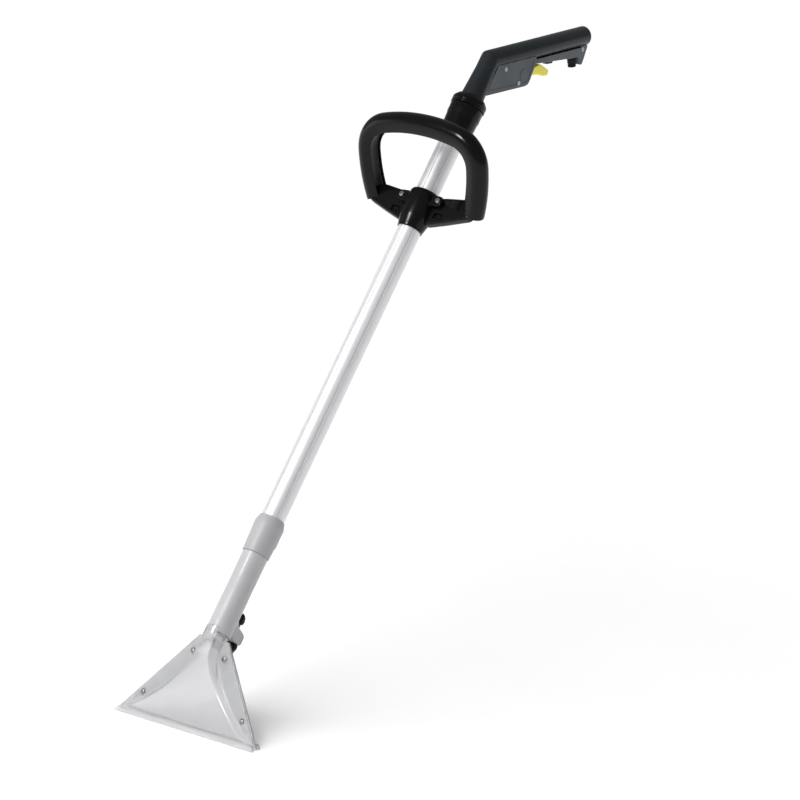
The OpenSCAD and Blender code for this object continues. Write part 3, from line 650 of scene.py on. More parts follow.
def rear_stand(x, h):
    """How far the rear shell stands behind the flange's back."""
    lip = size("lip_height")
    up = ease((h - lip) / (JOIN_H - lip))
    depth = REAR_RISE + (SPIGOT_R - FLANGE_BACK - REAR_RISE) * up ** 1.6 + SPIGOT_SLOPE * max(0, h - JOIN_H)
    to_dome = ease((h - 62) / 40)
    shape = (1 - to_dome) * duct_wall(x, h, 8 + 3 * up) + to_dome * dome(x)
    band = REAR_RISE * (1 - ease((h - lip + 1.2) / 1.6))
    return max(depth * shape, band)


def floor_height(y):
    """Where the floor crosses the head's own slanting plane."""
    return y * math.tan(HEAD_LEAN)


def pressed_sheet(stand, plane, facing):
    """One shell's flange with its duct pressed out of it; facing is -1 in front and 1 behind."""
    columns, rows = 150, 92
    bpy.ops.object.select_all(action="DESELECT")
    bpy.ops.mesh.primitive_grid_add(x_subdivisions=columns, y_subdivisions=rows, size=2)
    obj = bpy.context.object
    for vertex in obj.data.vertices:
        across, up = vertex.co.x, (vertex.co.y + 1) / 2
        h = up * HEAD_H
        x = across * flange_half_width(h)
        y = plane + facing * stand(x, h)
        foot = floor_height(y) - 2
        vertex.co = (x, y, foot + (HEAD_H - foot) * up)
    edit(obj)
    bpy.ops.mesh.normals_make_consistent(inside=False)
    done()
    if sum(face.normal.y for face in obj.data.polygons) * facing < 0:
        edit(obj)
        bpy.ops.mesh.flip_normals()
        done()
    modify(obj, "SOLIDIFY", thickness=size("shell_wall"), offset=-1, use_even_offset=True)
    edit(obj)
    bpy.ops.mesh.bisect(plane_co=(0, 0, 0), plane_no=(0, -math.sin(HEAD_LEAN), math.cos(HEAD_LEAN)),
                        use_fill=True, clear_inner=True)
    done()
    soften(obj, 0.5, 2, 60)
    return obj


def half_spigot(facing):
    """Half of the round spigot that plugs into the neck."""
    tube = turned([(SPIGOT_R, 6), (SPIGOT_R, 44.4), (SPIGOT_R - 0.6, 45), (SPIGOT_R - 2.4, 45), (SPIGOT_R - 2.4, 6)])
    tube.matrix_world = Matrix.Rotation(-SPIGOT_TILT, 4, "X") @ tube.matrix_world
    only(tube)
    bpy.ops.object.transform_apply(rotation=True)
    shift(tube, (0, 0, JOIN_H))
    side = box((-40, -60, 60), (40, 2.4, 200)) if facing < 0 else box((-40, 3, 60), (40, 60, 200))
    keep_common(tube, side)
    return tube


def tongue():
    """The tab that laps over the front of the neck."""
    inner, outer = size("neck_diameter") / 2 + 0.05, size("neck_diameter") / 2 + 1.9
    tab = turned([(SPIGOT_R - 1, 12), (outer - 1.5, 12), (outer, 16), (outer, 32), (outer - 0.8, 33), (inner, 33),
                  (inner, RIM_S - 0.3), (SPIGOT_R - 1, RIM_S - 0.3)])
    keep_common(tab, plate(rounded([(-9.5, 0), (9.5, 0), (9.5, 33.2), (-9.5, 33.2)], [0, 0, 4, 4]), "Y", -40, -8))
    tab.matrix_world = Matrix.Translation((0, 0, JOIN_H)) @ Matrix.Rotation(-SPIGOT_TILT, 4, "X") @ tab.matrix_world
    only(tab)
    bpy.ops.object.transform_apply(location=True, rotation=True)
    return tab


class WAND_OT_head(Operator):
    """Build the clear suction head and its screws"""

    bl_idname = "wand.head"
    bl_label = "Suction Head"

    def execute(self, context):
        front = pressed_sheet(front_stand, 0, -1)
        join_into(front, half_spigot(-1))
        join_into(front, tongue())
        set_down(front, "clear_front", HEAD, "wand", "clear_plastic", ["head_front_shell"], 25)
        rear = pressed_sheet(rear_stand, FLANGE_BACK, 1)
        weld(rear, half_spigot(1))
        set_down(rear, "clear_rear", HEAD, "wand", "clear_plastic", ["head_rear_shell"], 25)
        screws = None
        for x, h in SCREWS_AT:
            for side in (-1, 1):
                screw = turned([(0.4, -1.9), (2.4, -1.7), (3.5, -1.0), (3.9, -0.2), (3.9, 0), (1.7, 0), (1.7, 5.4),
                                (3.9, 5.4), (3.9, 7.4), (3.6, 7.6), (0.4, 7.6)], 32)
                cut(screw, box((-2.2, -0.4, -3), (2.2, 0.4, -1.1)))
                cut(screw, box((-0.4, -2.2, -3), (0.4, 2.2, -1.1)))
                turn_to(screw, "Y")
                shift(screw, (side * x, 0, h))
                if screws is None:
                    screws = screw
                else:
                    join_into(screws, screw)
        set_down(screws, "shell_screws", HEAD, "wand", "steel", ["head_screws"])
        return {"FINISHED"}


# ---------- neck, jet, sleeve, latch and tube ----------

TUBE_R = 16
TUBE_BORE_R = 14.5
GROOVES_AT = (-11, 11, 57)
GROOVE_DEPTH = 1.1
GROOVE_HALF_ANGLE = 3.2


class WAND_OT_neck(Operator):
    """Build the grey neck with its bulge for the spray jet"""

    bl_idname = "wand.neck"
    bl_label = "Neck and Jet"

    def execute(self, context):
        r = size("neck_diameter") / 2
        neck = turned([
            (r - 0.7, RIM_S), (r, RIM_S + 0.7), (r, RIM_S + 40), (r - 0.35, RIM_S + 70), (r, NECK_TOP_S - 3),
            (r + 0.15, NECK_TOP_S - 2), (r + 0.15, NECK_TOP_S - 0.5), (r - 0.4, NECK_TOP_S),
            (r - 0.4, NECK_TOP_S + 9), (14.5, NECK_TOP_S + 9), (14.5, RIM_S + 21.2), (15.0, RIM_S + 21),
            (15.0, RIM_S)])
        bulge = plate(rounded([
            (8, 34), (19, 33), (25, 29.5), (40.5, 29.5), (42.6, 32), (42.2, 44), (35, 47), (25, 49), (19, 56),
            (8, 64)], [0, 6, 3, 3, 3, 4, 5, 5, 12, 0]), "X", -8, 8, 2.2, 4)
        core = plug(15.6, 20, 80, sides=96)
        cut(bulge, core)
        for x in (-7.2, 7.2):
            panel = plate(rounded([(25, 33), (39.6, 33), (39.6, 41.5), (33, 43.5), (25, 44)], 1.5), "X", x - 1.2, x + 1.2)
            panel = shift(panel, (1.6 if x > 0 else -1.6, 0, 0))
            cut(bulge, panel)
        well = shift(plug(4.2, RIM_S + 1, RIM_S + 20), (0, 34.5, 0))
        cut(bulge, well)
        cut(bulge, shift(plug(4.2, RIM_S + 17, RIM_S + 60), (0, 27.5, 0)))
        weld(neck, bulge)
        set_down(neck, "grey_neck", WAND, "wand", "light_grey_plastic", ["neck"])

        elbow = turned([(0.3, 45), (4.0, 45), (4.0, 57), (5.2, 57.6), (5.2, 65), (4.4, 67.2), (2.0, 69), (0.3, 69)], 48)
        shift(elbow, (0, 27.5, 0))
        leg = turn_to(turned([(0.3, 8), (3.2, 8), (3.2, 22), (4.2, 22.4), (4.2, 26), (0.3, 26)], 48), "Y")
        shift(leg, (0, 0, 61))
        ear = plate(rounded([(26.5, 54), (34, 55.5), (35.6, 60), (33.4, 66), (27.5, 67)], 1.6), "X", -3, 3, 0.6)
        weld(elbow, leg, ear)
        set_down(elbow, "jet_pipe", WAND, "wand", "black_trim", ["jet_elbow"])

        cap = turned([(2.6, 12.6), (4.0, 12.6), (4.8, 13.6), (7.0, 21.4), (7.4, 22.4), (7.4, 28.4), (6.9, 29),
                      (4.05, 29), (4.05, 21.6), (2.6, 21.6)], 64)
        for k in range(10):
            turn = Matrix.Rotation(math.radians(36 * k), 4, "Z")
            rib = plate(rounded([(7.1, 22.6), (7.9, 23), (7.9, 28), (7.1, 28.4)], 0.3, 2), "X", -0.9, 0.9)
            rib.matrix_world = turn @ rib.matrix_world
            only(rib)
            bpy.ops.object.transform_apply(rotation=True)
            weld(cap, rib)
        shift(cap, (0, 34.5, 0))
        set_down(cap, "jet_cap_ribbed", WAND, "jet_cap", "black_trim", ["jet_cap"])
        return {"FINISHED"}


class WAND_OT_sleeve(Operator):
    """Build the lower sleeve with its latch"""

    bl_idname = "wand.sleeve"
    bl_label = "Lower Sleeve and Latch"

    def execute(self, context):
        sleeve = turned([
            (17.3, NECK_TOP_S + 0.3), (18.1, NECK_TOP_S + 0.3), (18.6, NECK_TOP_S + 1), (20.05, SLEEVE_S1 - 3),
            (20.2, SLEEVE_S1 - 0.5), (20.0, SLEEVE_S1 + 0.8), (17.7, SLEEVE_TOP_S - 1.2), (17.2, SLEEVE_TOP_S - 0.4),
            (16.9, SLEEVE_TOP_S), (16.05, SLEEVE_TOP_S), (16.05, NECK_TOP_S + 9.5), (17.3, NECK_TOP_S + 9.2)])
        cheeks = plate(rounded([(10, 158.5), (20, 158.5), (23.4, 163), (23.4, 178), (20, 182.5), (10, 182.5)],
                               [0, 3, 3, 3, 3, 0]), "X", -7.1, 7.1, 0.9)
        cut(cheeks, plug(17, 150, 200, sides=96))
        weld(sleeve, cheeks)
        cut(sleeve, box((-5.1, 17.9, 159.2), (5.1, 40, 182)))
        cut(sleeve, box((-3.4, 10, 159.2), (3.4, 40, 167.2)))
        cut(sleeve, turn_to(shift(plug(1.05, -20, 20), (-171.5, 22, 0)), "X"))
        set_down(sleeve, "grey_sleeve", WAND, "wand", "grey_plastic", ["tube_sleeve"])

        latch = plate(rounded([(20.4, 159.5), (23.2, 159.5), (24.4, 165.5), (24.4, 175.5), (23.6, 181), (20.4, 181)],
                              [0.8, 1.2, 2, 2, 1.2, 0.8]), "X", -4.7, 4.7, 0.6)
        nose = plate(rounded([(14.4, 161.6), (22, 161.1), (22, 165.4), (14.4, 164.9)], 0.4, 2), "X", -3, 3, 0.3)
        weld(latch, nose)
        for k in range(4):
            cut(latch, turn_to(shift(plug(0.45, -6, 6, sides=16), (-(173.5 + 1.7 * k), 24.5, 0)), "X"))
        cut(latch, turn_to(shift(plug(1.05, -20, 20), (-171.5, 22, 0)), "X"))
        set_down(latch, "latch_rocker", WAND, "tube_latch", "grey_plastic", ["tube_latch"])
        return {"FINISHED"}


def tube_outline():
    """The tube's outside, with a narrow groove at each of its three places round the tube."""
    points = []
    for step in range(240):
        angle = step * 1.5 - 180
        radius = TUBE_R - GROOVE_DEPTH * any(abs(angle - at) < GROOVE_HALF_ANGLE for at in GROOVES_AT)
        points.append((radius * math.sin(math.radians(angle)), -radius * math.cos(math.radians(angle))))
    return points


class WAND_OT_tube(Operator):
    """Build the grooved aluminium tube"""

    bl_idname = "wand.tube"
    bl_label = "Suction Tube"

    def execute(self, context):
        tube = plate(tube_outline(), "Z", TUBE_S0, TUBE_S1)
        cut(tube, plug(TUBE_BORE_R, TUBE_S0 - 5, TUBE_S1 + 5, sides=96))
        set_down(tube, "grooved_tube", WAND, "wand", "aluminium", ["suction_tube"])
        return {"FINISHED"}


# ---------- D-handle ----------

LOOP_HW = 94.5
LOOP_TOP = 102.3
LOOP_LOW = 12
TOP_R = 270
CORNER_R = 42
SIDE_R = 212
CORNER_TURN = math.asin((LOOP_HW - CORNER_R) / (TOP_R - CORNER_R))
CORNER_H = LOOP_TOP - TOP_R + (TOP_R - CORNER_R) * math.cos(CORNER_TURN)
SIDE_TURN = math.asin((CORNER_H + LOOP_LOW) / SIDE_R)
CLAMP_PART = -3
SCREW_X = 30.7
SCREW_S = LOOP_S - 5


def bar_section():
    """The bar's section: round outside, with a channel between two lips on the inside."""
    r = size("bar_diameter") / 2
    round_part = [(r * math.cos(math.radians(a)), r * math.sin(math.radians(a))) for a in range(-98, 99, 7)]
    lip = [(-0.82, 0.87), (-0.95, 0.80), (-0.95, 0.68), (-0.74, 0.62), (-0.68, 0.50)]
    upper = [(u * r, v * r) for u, v in lip]
    return round_part + upper + [(u, -v) for u, v in reversed(upper)]


def loop_bar():
    """The loop, spun round one arc after another."""
    centre = Vector((LOOP_HW - SIDE_R, 0, CORNER_H))
    out = Vector((math.cos(SIDE_TURN), 0, -math.sin(SIDE_TURN)))
    section = bar_section()
    obj = ring(1, 0, len(section))
    for vertex, (u, v) in zip(obj.data.vertices, section):
        vertex.co = centre + out * (SIDE_R + u) + Vector((0, v, 0))
    quarter = math.pi / 2 - CORNER_TURN
    arcs = (
        (centre, SIDE_TURN, 18),
        ((LOOP_HW - CORNER_R, 0, CORNER_H), quarter, 22),
        ((0, 0, LOOP_TOP - TOP_R), 2 * CORNER_TURN, 24),
        ((CORNER_R - LOOP_HW, 0, CORNER_H), quarter, 22),
        ((SIDE_R - LOOP_HW, 0, CORNER_H), SIDE_TURN, 18),
    )
    edit(obj)
    for middle, angle, steps in arcs:
        bpy.ops.mesh.spin(steps=steps, angle=angle, center=middle, axis=(0, 1, 0))
    close_ends()
    bpy.ops.mesh.remove_doubles(threshold=0.001)
    bpy.ops.mesh.dissolve_limited(angle_limit=math.radians(0.5))
    bpy.ops.mesh.normals_make_consistent(inside=False)
    pick_faces(obj, lambda face: len(face.verts) > 12)
    bpy.ops.mesh.bevel(offset=0.8, segments=2, affect="EDGES")
    done()
    return obj


def arm(side):
    """One arm, from the clamp out to the loop's lower end."""
    outline = [(12, 640), (24, 641), (50, 649), (LOOP_HW - 12, 660), (LOOP_HW - 3, 671), (LOOP_HW - 6, 683),
               (LOOP_HW - 26, 687), (38, 683.5), (25, 681), (12, 681)]
    outline = [(x * side, s) for x, s in outline]
    obj = plate(rounded(outline, [0, 3, 20, 8, 6, 6, 14, 8, 4, 0]), "Y", CLAMP_PART, CLAMP_PART + 13, 3.2, 5)
    pocket = sorted((29 * side, 43 * side))
    hollow = plate(rounded([(pocket[0], 651), (pocket[1], 651), (pocket[1], 659), (pocket[0], 659)], 1), "Y", -6, -0.6)
    cut(obj, hollow)
    inset = sorted((31 * side, 41 * side))
    weld(obj, plate(rounded([(inset[0], 652.5), (inset[1], 652.5), (inset[1], 657.5), (inset[0], 657.5)], 0.8),
                    "Y", -2.2, 2, 0.3, 2))
    return obj


def clamp_barrel():
    r = size("clamp_diameter") / 2
    return turned([
        (16.08, CLAMP_S0), (17.3, CLAMP_S0), (17.7, CLAMP_S0 + 0.5), (17.7, CLAMP_S0 + 2), (18.2, CLAMP_S0 + 3.5),
        (r - 0.8, CLAMP_S0 + 14.5), (r, CLAMP_S0 + 18), (r, CLAMP_S1 - 6), (r - 0.5, CLAMP_S1 - 3),
        (r - 1.6, CLAMP_S1 - 1), (r - 3, CLAMP_S1), (16.08, CLAMP_S1)], 128)


class WAND_OT_d_handle(Operator):
    """Build the D-handle's loop, its arms and both halves of its clamp"""

    bl_idname = "wand.d_handle"
    bl_label = "D-Handle"

    def execute(self, context):
        loop = loop_bar()
        loop.matrix_world = Matrix.Translation((0, 0, LOOP_S)) @ Matrix.Rotation(LOOP_TILT, 4, "X")
        only(loop)
        bpy.ops.object.transform_apply(location=True, rotation=True)
        rear = clamp_barrel()
        keep_common(rear, box((-60, CLAMP_PART + 0.15, 600), (60, 60, 720)))
        arms = arm(1)
        weld(arms, arm(-1))
        for side in (-1, 1):
            boss = turn_to(turned([(2, -3), (6.6, -3), (7.4, -2.4), (7.4, 10), (6.8, 10.8), (4.1, 10.8), (4.1, 7), (2, 7)],
                                  64), "Y")
            shift(boss, (side * SCREW_X, 0, SCREW_S))
            weld(arms, boss)
        cut(arms, plug(16.08, 600, 720, sides=128))
        weld(rear, arms)
        weld(rear, loop)
        set_down(rear, "d_handle_loop", WAND, "d_handle", "black_plastic", ["d_handle"], 30)

        front = clamp_barrel()
        keep_common(front, box((-60, -60, 600), (60, CLAMP_PART - 0.15, 720)))
        for side in (-1, 1):
            outline = [(16 * side, 666), (26 * side, 665.5), (37 * side, 668), (37 * side, 681), (16 * side, 681.5)]
            ear = plate(rounded(outline, [0, 3, 6, 6, 0]), "Y", -9.3, CLAMP_PART - 0.15, 0.8)
            boss = turn_to(turned([(2, -9.5), (6.1, -9.5), (6.5, -9.1), (6.5, -3.2), (2, -3.2)], 64), "Y")
            shift(boss, (side * SCREW_X, 0, SCREW_S))
            weld(ear, boss)
            weld(front, ear)
        cut(front, plug(16.08, 600, 720, sides=128))
        set_down(front, "clamp_front", WAND, "d_handle", "black_plastic", ["clamp_shell"], 30)

        screws = None
        for side in (-1, 1):
            screw = turned([(0.3, -12.4), (2.6, -12.2), (3.5, -11.4), (3.8, -10.4), (3.8, -9.5), (2, -9.5), (2, 9.5),
                            (0.3, 9.5)], 32)
            cut(screw, box((-2.4, -0.45, -14), (2.4, 0.45, -11.3)))
            cut(screw, box((-0.45, -2.4, -14), (0.45, 2.4, -11.3)))
            turn_to(screw, "Y")
            shift(screw, (side * SCREW_X, 0, SCREW_S))
            screws = screws or screw
            if screws is not screw:
                join_into(screws, screw)
        set_down(screws, "clamp_bolts", WAND, "d_handle", "steel", ["clamp_screws"])
        return {"FINISHED"}


# ---------- union and grip ----------


class WAND_OT_union(Operator):
    """Build the black union: its sleeve and its ringed nut"""

    bl_idname = "wand.union"
    bl_label = "Union"

    def execute(self, context):
        sleeve = turned([
            (16.05, UNION_S0 + 8), (20.8, UNION_S0 + 8), (21.3, UNION_S0 + 8.5), (21.3, UNION_S0 + 11.6),
            (21, UNION_S0 + 12.2),
            (21.5, UNION_S0 + 22), (21.9, UNION_S0 + 22.4), (22.1, UNION_S0 + 25.6), (21.8, UNION_S0 + 26),
            (22.5, UNION_S0 + 42), (23.0, UNION_S0 + 42.4), (23.2, UNION_S0 + 46), (22.9, UNION_S0 + 46.5),
            (23.2, UNION_S1 - 2.4), (22.8, UNION_S1), (19.5, UNION_S1), (19.5, NUT_TOP_S - 3), (18, NUT_TOP_S - 3),
            (18, NUT_TOP_S - 7), (16.35, NUT_TOP_S - 7), (16.35, TUBE_S1 + 0.5), (16.05, TUBE_S1)], 128)
        soften(sleeve, 0.25, 2, 50)
        set_down(sleeve, "union_body", WAND, "wand", "black_plastic", ["union_sleeve"])
        r = size("nut_diameter") / 2
        nut = turned([
            (19.55, UNION_S1 + 0.4), (r - 0.5, UNION_S1 + 0.4), (r, UNION_S1 + 0.9), (r, UNION_S1 + 3.2),
            (r - 0.7, UNION_S1 + 3.6), (r - 0.7, UNION_S1 + 4.4), (r, UNION_S1 + 4.8), (r, UNION_S1 + 9),
            (r - 0.5, UNION_S1 + 10), (r - 3.8, NUT_TOP_S - 0.6), (r - 4.4, NUT_TOP_S), (16.7, NUT_TOP_S),
            (16.7, NUT_TOP_S - 2.6), (19.55, NUT_TOP_S - 2.6)], 128)
        soften(nut, 0.25, 2, 40)
        set_down(nut, "union_ring", WAND, "union_nut", "black_plastic", ["union_nut"])
        return {"FINISHED"}


def bent_tube(stations, grip_to):
    """A tube up the leg, round a mitred bend and back along the grip.

    stations are (distance below the bend, radius) up the leg; the last radius goes on along the grip.
    """
    sides = bpy.context.scene.wand_sizes.turned_sides
    below, radius = stations[0]
    obj = ring(radius, 0, sides, (-LEAN, 0, 0), -AXIS * below)
    edit(obj)
    for next_below, next_radius in stations[1:]:
        bpy.ops.mesh.extrude_region_move(TRANSFORM_OT_translate={"value": AXIS * (below - next_below)})
        scale = next_radius / radius
        squeeze_ring(obj, -AXIS * next_below, scale)
        below, radius = next_below, next_radius
    # The last ring up the leg lies on the mitre's plane, and the next one across the grip
    bpy.ops.mesh.extrude_region_move(TRANSFORM_OT_translate={"value": AXIS * below})
    back = Vector((0, 1, 0))
    plane = (AXIS + back).normalized()
    slide_to_plane(obj, AXIS, Vector((0, 0, 0)), plane)
    bpy.ops.mesh.extrude_region_move(TRANSFORM_OT_translate={"value": back * 40})
    slide_to_plane(obj, back, back * 40, back)
    bpy.ops.mesh.extrude_region_move(TRANSFORM_OT_translate={"value": back * (grip_to - 40)})
    close_ends()
    bpy.ops.mesh.normals_make_consistent(inside=False)
    done()
    return obj


def chosen(obj):
    mesh = bmesh.from_edit_mesh(obj.data)
    return mesh, [v for v in mesh.verts if v.select]


def squeeze_ring(obj, centre, scale):
    """Scales the selected ring about its middle."""
    bpy.ops.transform.resize(value=(scale, scale, scale), center_override=centre)


def slide_to_plane(obj, along, point, normal):
    """Slides the selected ring along a direction until it lies on a plane."""
    mesh, vertices = chosen(obj)
    for v in vertices:
        v.co += along * ((point - v.co).dot(normal) / along.dot(normal))
    bmesh.update_edit_mesh(obj.data)


class WAND_OT_grip(Operator):
    """Build the bent hand grip"""

    bl_idname = "wand.grip"
    bl_label = "Grip"

    def execute(self, context):
        r = size("grip_diameter") / 2
        leg_top = BEND_S - NUT_TOP_S
        grip = bent_tube([(leg_top + 33.3, 16.3), (leg_top - 1, 16.3), (leg_top - 4, 15.9), (16, r)], 208.4)
        edit(grip)
        bpy.ops.mesh.select_mode(type="EDGE")
        bpy.ops.mesh.select_all(action="DESELECT")
        mesh = bmesh.from_edit_mesh(grip.data)
        plane = (AXIS + Vector((0, 1, 0))).normalized()
        for e in mesh.edges:
            e.select = all(abs(v.co.dot(plane)) < 0.02 and v.co.length < 3 * r for v in e.verts)
        bmesh.update_edit_mesh(grip.data)
        bpy.ops.mesh.bevel(offset=2.2, segments=3, affect="EDGES", clamp_overlap=False)
        done()
        soften(grip, 2.4, 4, 50)
        bore = turn_to(turned([(0.3, 130), (11, 130), (11, 182.3), (11.5, 182.5), (11.5, 207.8), (12, 209),
                               (0.3, 209)]), "Y")
        cut(grip, bore)
        set_down(grip, "bent_grip", GRIP, "wand", "slate_plastic", ["elbow_grip"], 30)
        return {"FINISHED"}


# ---------- valve housing ----------

PIVOT = (60.5, -29.6)
BLOCK_HW = 12
RAIL_HW = 9
BLOCK = [(-34, -44.2), (62, -45.4), (68.5, -44), (73.6, -38.1), (85.6, -18.2), (87.6, -6.5), (-8, -6.5)]
BLOCK_HOLLOW = [(-10, -42), (61.5, -43.2), (67.5, -42), (71.8, -37), (83.3, -17.5), (85, -8.5), (10, -8.5)]
RAIL = [(80, -19), (92.2, -19.6), (172, -25), (184, -25), (187.5, -36), (189.8, -37.2), (192.5, -36.6),
        (196, -30.9), (205, -13.7), (205, -6), (80, -6)]
HOUSING_SCREWS = ((20.4, -15.2, BLOCK_HW), (48.3, -38.8, BLOCK_HW), (194.6, -16.4, RAIL_HW))
INLET_AT = (178.2, -19)
INLET_TILT = math.radians(8)
FEED_Z = -15.8


def rod_x(y, z, x0, x1, radius, sides=48):
    return shift(turn_to(plug(radius, x0, x1, sides=sides), "X"), (0, y, z))


def housing_half(side):
    """One half of the valve housing; side is -1 for the left and 1 for the right."""
    def slab(outline, hw, soft):
        return plate(outline, "X", 0.05 * side, hw * side, soft, 4)

    half = slab(rounded(BLOCK, [2, 5, 3, 4, 8, 0, 0]), BLOCK_HW, 0)
    outer_rim(half, side * BLOCK_HW, 1.5)
    rail = slab(rounded(RAIL, [0, 6, 5, 1.5, 2, 2, 2, 3, 4, 0, 0]), RAIL_HW, 0)
    outer_rim(rail, side * RAIL_HW, 1.3)
    # A shallow panel with a raised arch round the trigger's pivot
    panel = slab(rounded([(-21, -38.5), (55, -40), (61, -40.5), (68, -37), (80.5, -16.5), (81.5, -12.5), (-1, -12.5)],
                         [2, 2, 6, 5, 4, 1, 1]), BLOCK_HW + 2, 0)
    keep_common(panel, box(sorted_pair(side * (BLOCK_HW - 0.55), -60, -80), sorted_pair(side * 30, 260, 20)))
    arch = rod_x(*PIVOT, *sorted((side * (BLOCK_HW - 3), side * (BLOCK_HW + 3))), 9.2, 64)
    cut(panel, arch)
    cut(half, panel)
    for y, z, hw in HOUSING_SCREWS[:2]:
        weld(half, rod_x(y, z, *sorted((side * (hw - 2), side * (hw - 0.1))), 4.6))
    weld(half, rail)
    saddle = turn_to(plug(14.1, -5.5, 230, sides=96), "Y")
    cut(half, saddle)
    cut(half, turn_to(plug(15.8, 88, 190, sides=96), "Y"))
    leg = plug(15.3, -90, 3, sides=80, top=14.2)
    leg.matrix_world = Matrix.Rotation(-LEAN, 4, "X") @ leg.matrix_world
    only(leg)
    bpy.ops.object.transform_apply(rotation=True)
    cut(half, leg, "FAST")
    for outline, hw in ((BLOCK_HOLLOW, BLOCK_HW - 2), (offset_outline(RAIL, 2), RAIL_HW - 2)):
        cut(half, plate(outline, "X", -0.05 * side, hw * side))
    cut(half, box((-6.4, 68, -36.4), (6.4, 112, FEED_Z)))
    for y, z, hw in HOUSING_SCREWS:
        weld(half, rod_x(y, z, *sorted((side * 0.3, side * (hw - 1.3))), 3.2))
        cut(half, rod_x(y, z, *sorted((side * (hw - 1.2), side * (hw + 3))), 3.0))
    weld(half, rod_x(*PIVOT, *sorted((side * 6.4, side * (BLOCK_HW - 1))), 3.5))
    cut(half, rod_x(*PIVOT, -11, 11, 1.5))
    socket = plug(6.3, 6, 30)
    socket.matrix_world = (Matrix.Translation((0, *INLET_AT)) @ Matrix.Rotation(math.pi + INLET_TILT, 4, "X")
                           @ socket.matrix_world)
    only(socket)
    bpy.ops.object.transform_apply(location=True, rotation=True)
    cut(half, socket)
    return half


def sorted_pair(x, y, z):
    return (x, y, z)


def outer_rim(obj, x, width):
    """Rounds the rim of the outer side face."""
    edit(obj)
    pick_faces(obj, lambda face: abs(face.calc_center_median().x - x) < 0.01)
    bpy.ops.mesh.region_to_loop()
    bpy.ops.mesh.bevel(offset=width, segments=4, affect="EDGES")
    done()


class WAND_OT_housing(Operator):
    """Build both halves of the valve housing"""

    bl_idname = "wand.housing"
    bl_label = "Valve Housing"

    def execute(self, context):
        for side, name, node in ((-1, "housing_shell_left", "housing_left"), (1, "housing_shell_right", "housing_right")):
            set_down(housing_half(side), name, GRIP, "wand", "housing_plastic", [node], 30)
        return {"FINISHED"}


class WAND_OT_trigger(Operator):
    """Build the yellow trigger"""

    bl_idname = "wand.trigger"
    bl_label = "Trigger"

    def execute(self, context):
        paddle = plate(rounded([
            (58.5, -33.0), (70, -33.4), (80, -33.8), (94.5, -35.7), (110, -39.9), (116, -40.7), (120, -38.4),
            (121.5, -33.8), (118, -31.2), (104.4, -22.9), (100, -22.5), (88, -24), (60, -25.8)],
            [2, 20, 20, 20, 6, 4, 4, 3, 4, 6, 4, 12, 2]), "X", -6, 6, 2.0, 5)
        barrel = turn_to(turned([(1.55, -6), (3.6, -6), (4, -5.6), (4, 5.6), (3.6, 6), (1.55, 6)], 64), "X")
        shift(barrel, (0, *PIVOT))
        cut(paddle, rod_x(*PIVOT, -10, 10, 3.0))
        weld(paddle, barrel)
        heel = plate(rounded([(56.9, -29.6), (63.5, -29.6), (60, -18.6), (55, -18.6)], [0, 0, 1, 1.2]), "X", -2.5, 2.5, 0.4)
        cut(heel, rod_x(*PIVOT, -10, 10, 3.0))
        weld(paddle, heel)
        set_down(paddle, "yellow_trigger", GRIP, "trigger", "yellow_plastic", ["trigger"], 40)
        return {"FINISHED"}


# ---------- carried-over pieces and the stage ----------

ROUNDED_COPIES = {
    "solution_inlet": ("inlet_plug", "wand", "black_trim", 0.45),
    "trigger_stop": ("rubber_stop", "wand", "rubber", 0.55),
}


class WAND_OT_small_parts(Operator):
    """Round the edges of the small parts and give every mechanical part its finish"""

    bl_idname = "wand.small_parts"
    bl_label = "Small Parts"

    def execute(self, context):
        for node, (name, body, slot, soft) in ROUNDED_COPIES.items():
            set_down(copy_of(node, size("edge_round") * soft), name, WORLD, body, slot, [node])
        for part in frame["record"]["subparts"]:
            obj = frame["nodes"][part["node"]]
            obj.data.materials.clear()
            obj.data.materials.append(finish_for(part["material_slot"]))
        return {"FINISHED"}


CAMERA_AT = (3.432, -3.698, 1.952)
CAMERA_TARGET = (0.1117, 0.300, 0.3953)
CAMERA_LENS = 188.5


def softbox(name, at, target, width, power):
    bpy.ops.object.light_add(type="AREA", location=at)
    lamp = bpy.context.object
    lamp.name = name
    lamp.data.size = width
    lamp.data.energy = power
    lamp.rotation_euler = (Vector(target) - Vector(at)).to_track_quat("-Z", "Y").to_euler()
    return lamp


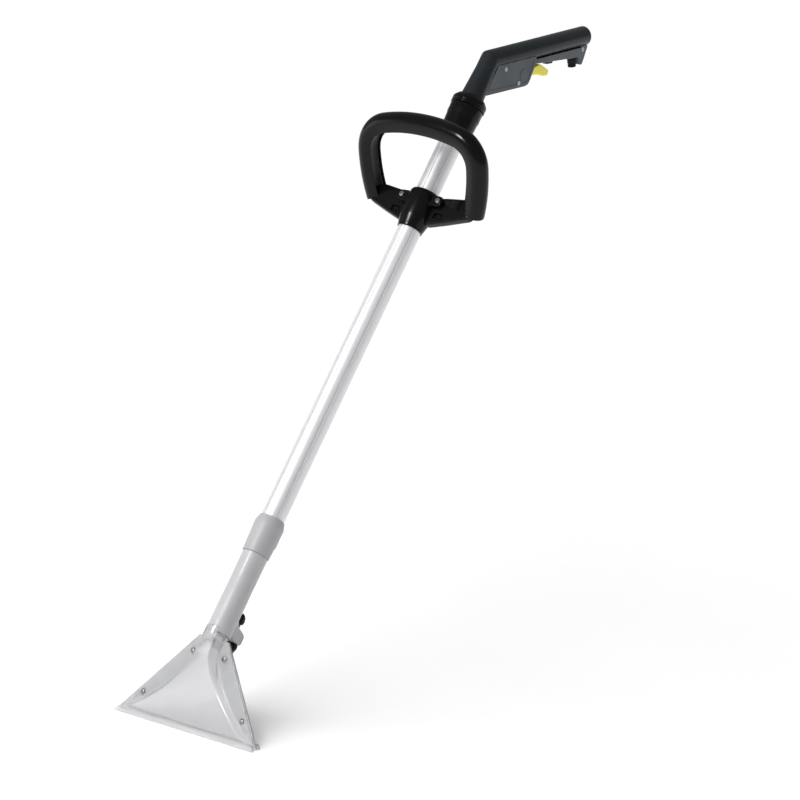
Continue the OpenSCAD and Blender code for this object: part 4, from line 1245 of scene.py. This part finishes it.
class WAND_OT_stage(Operator):
    """Set the pale floor, the soft studio light and the camera"""

    bl_idname = "wand.stage"
    bl_label = "Stage"

    def execute(self, context):
        bpy.ops.object.select_all(action="DESELECT")
        bpy.ops.mesh.primitive_plane_add(size=60, location=(0, 10, 0))
        floor = bpy.context.object
        floor.name = "studio_floor"
        mat, nodes, links, shader = new_finish("studio_floor")
        paper = pattern(nodes, links, 3, 3)
        links.new(ramp(nodes, links, paper, shade(color("floor"), 0.99), color("floor")), shader.inputs["Base Color"])
        links.new(spread(nodes, links, paper, 0.85, 0.95), shader.inputs["Roughness"])
        shader.inputs["Specular IOR Level"].default_value = 0.1
        floor.data.materials.append(mat)

        world = bpy.data.worlds.new("studio")
        world.use_nodes = True
        backdrop = world.node_tree.nodes["Background"]
        backdrop.inputs["Color"].default_value = (1, 1, 1, 1)
        backdrop.inputs["Strength"].default_value = 0.27
        context.scene.world = world
        context.scene.view_settings.view_transform = "Standard"
        bpy.ops.object.light_add(type="SUN", location=(-1.5, -2, 4))
        key = bpy.context.object
        key.name = "key_light"
        key.data.energy = 2.9
        key.data.angle = math.radians(65)
        key.rotation_euler = Vector((1.5, 2, -4)).to_track_quat("-Z", "Y").to_euler()
        # The key only lights surfaces; the narrow gleam only shows as highlights on them
        key.visible_glossy = False
        softbox("side_light", (-2.2, -1.0, 0.9), (0, 0.3, 0.5), 1.0, 5)
        gleam = softbox("gleam", (-0.6, -2.6, 2.8), (0, 0.4, 0.5), 0.8, 110)
        gleam.visible_diffuse = False
        gleam.visible_transmission = False

        bpy.ops.object.camera_add(location=CAMERA_AT)
        camera = bpy.context.object
        camera.name = "camera"
        camera.data.lens = CAMERA_LENS
        camera.rotation_euler = (Vector(CAMERA_TARGET) - Vector(CAMERA_AT)).to_track_quat("-Z", "Y").to_euler()
        context.scene.camera = camera
        return {"FINISHED"}


class WAND_PT_panel(Panel):
    """Lists the pieces of the wand in the order they are built"""

    bl_idname = "WAND_PT_panel"
    bl_label = "Floor Wand"
    bl_space_type = "VIEW_3D"
    bl_region_type = "UI"
    bl_category = "Floor Wand"

    def draw(self, context):
        layout = self.layout
        for group in (context.scene.wand_sizes, context.scene.wand_colors):
            column = layout.column(align=True)
            for name in group.bl_rna.properties.keys():
                if name not in {"rna_type", "name"}:
                    column.prop(group, name)
        for operator in PIECES:
            layout.operator(operator.bl_idname)


PIECES = (WAND_OT_head, WAND_OT_neck, WAND_OT_sleeve, WAND_OT_tube, WAND_OT_d_handle, WAND_OT_union, WAND_OT_grip,
          WAND_OT_housing, WAND_OT_trigger, WAND_OT_small_parts, WAND_OT_stage)
CLASSES = (WandSizes, WandColors, *PIECES, WAND_PT_panel)


def register():
    for cls in CLASSES:
        bpy.utils.register_class(cls)
    bpy.types.Scene.wand_sizes = PointerProperty(type=WandSizes)
    bpy.types.Scene.wand_colors = PointerProperty(type=WandColors)


def unregister():
    del bpy.types.Scene.wand_colors
    del bpy.types.Scene.wand_sizes
    for cls in reversed(CLASSES):
        bpy.utils.unregister_class(cls)


def main():
    register()
    bpy.ops.wand.head()
    bpy.ops.wand.neck()
    bpy.ops.wand.sleeve()
    bpy.ops.wand.tube()
    bpy.ops.wand.d_handle()
    bpy.ops.wand.union()
    bpy.ops.wand.grip()
    bpy.ops.wand.housing()
    bpy.ops.wand.trigger()
    bpy.ops.wand.small_parts()
    bpy.ops.wand.stage()


if __name__ == "__main__":
    main()
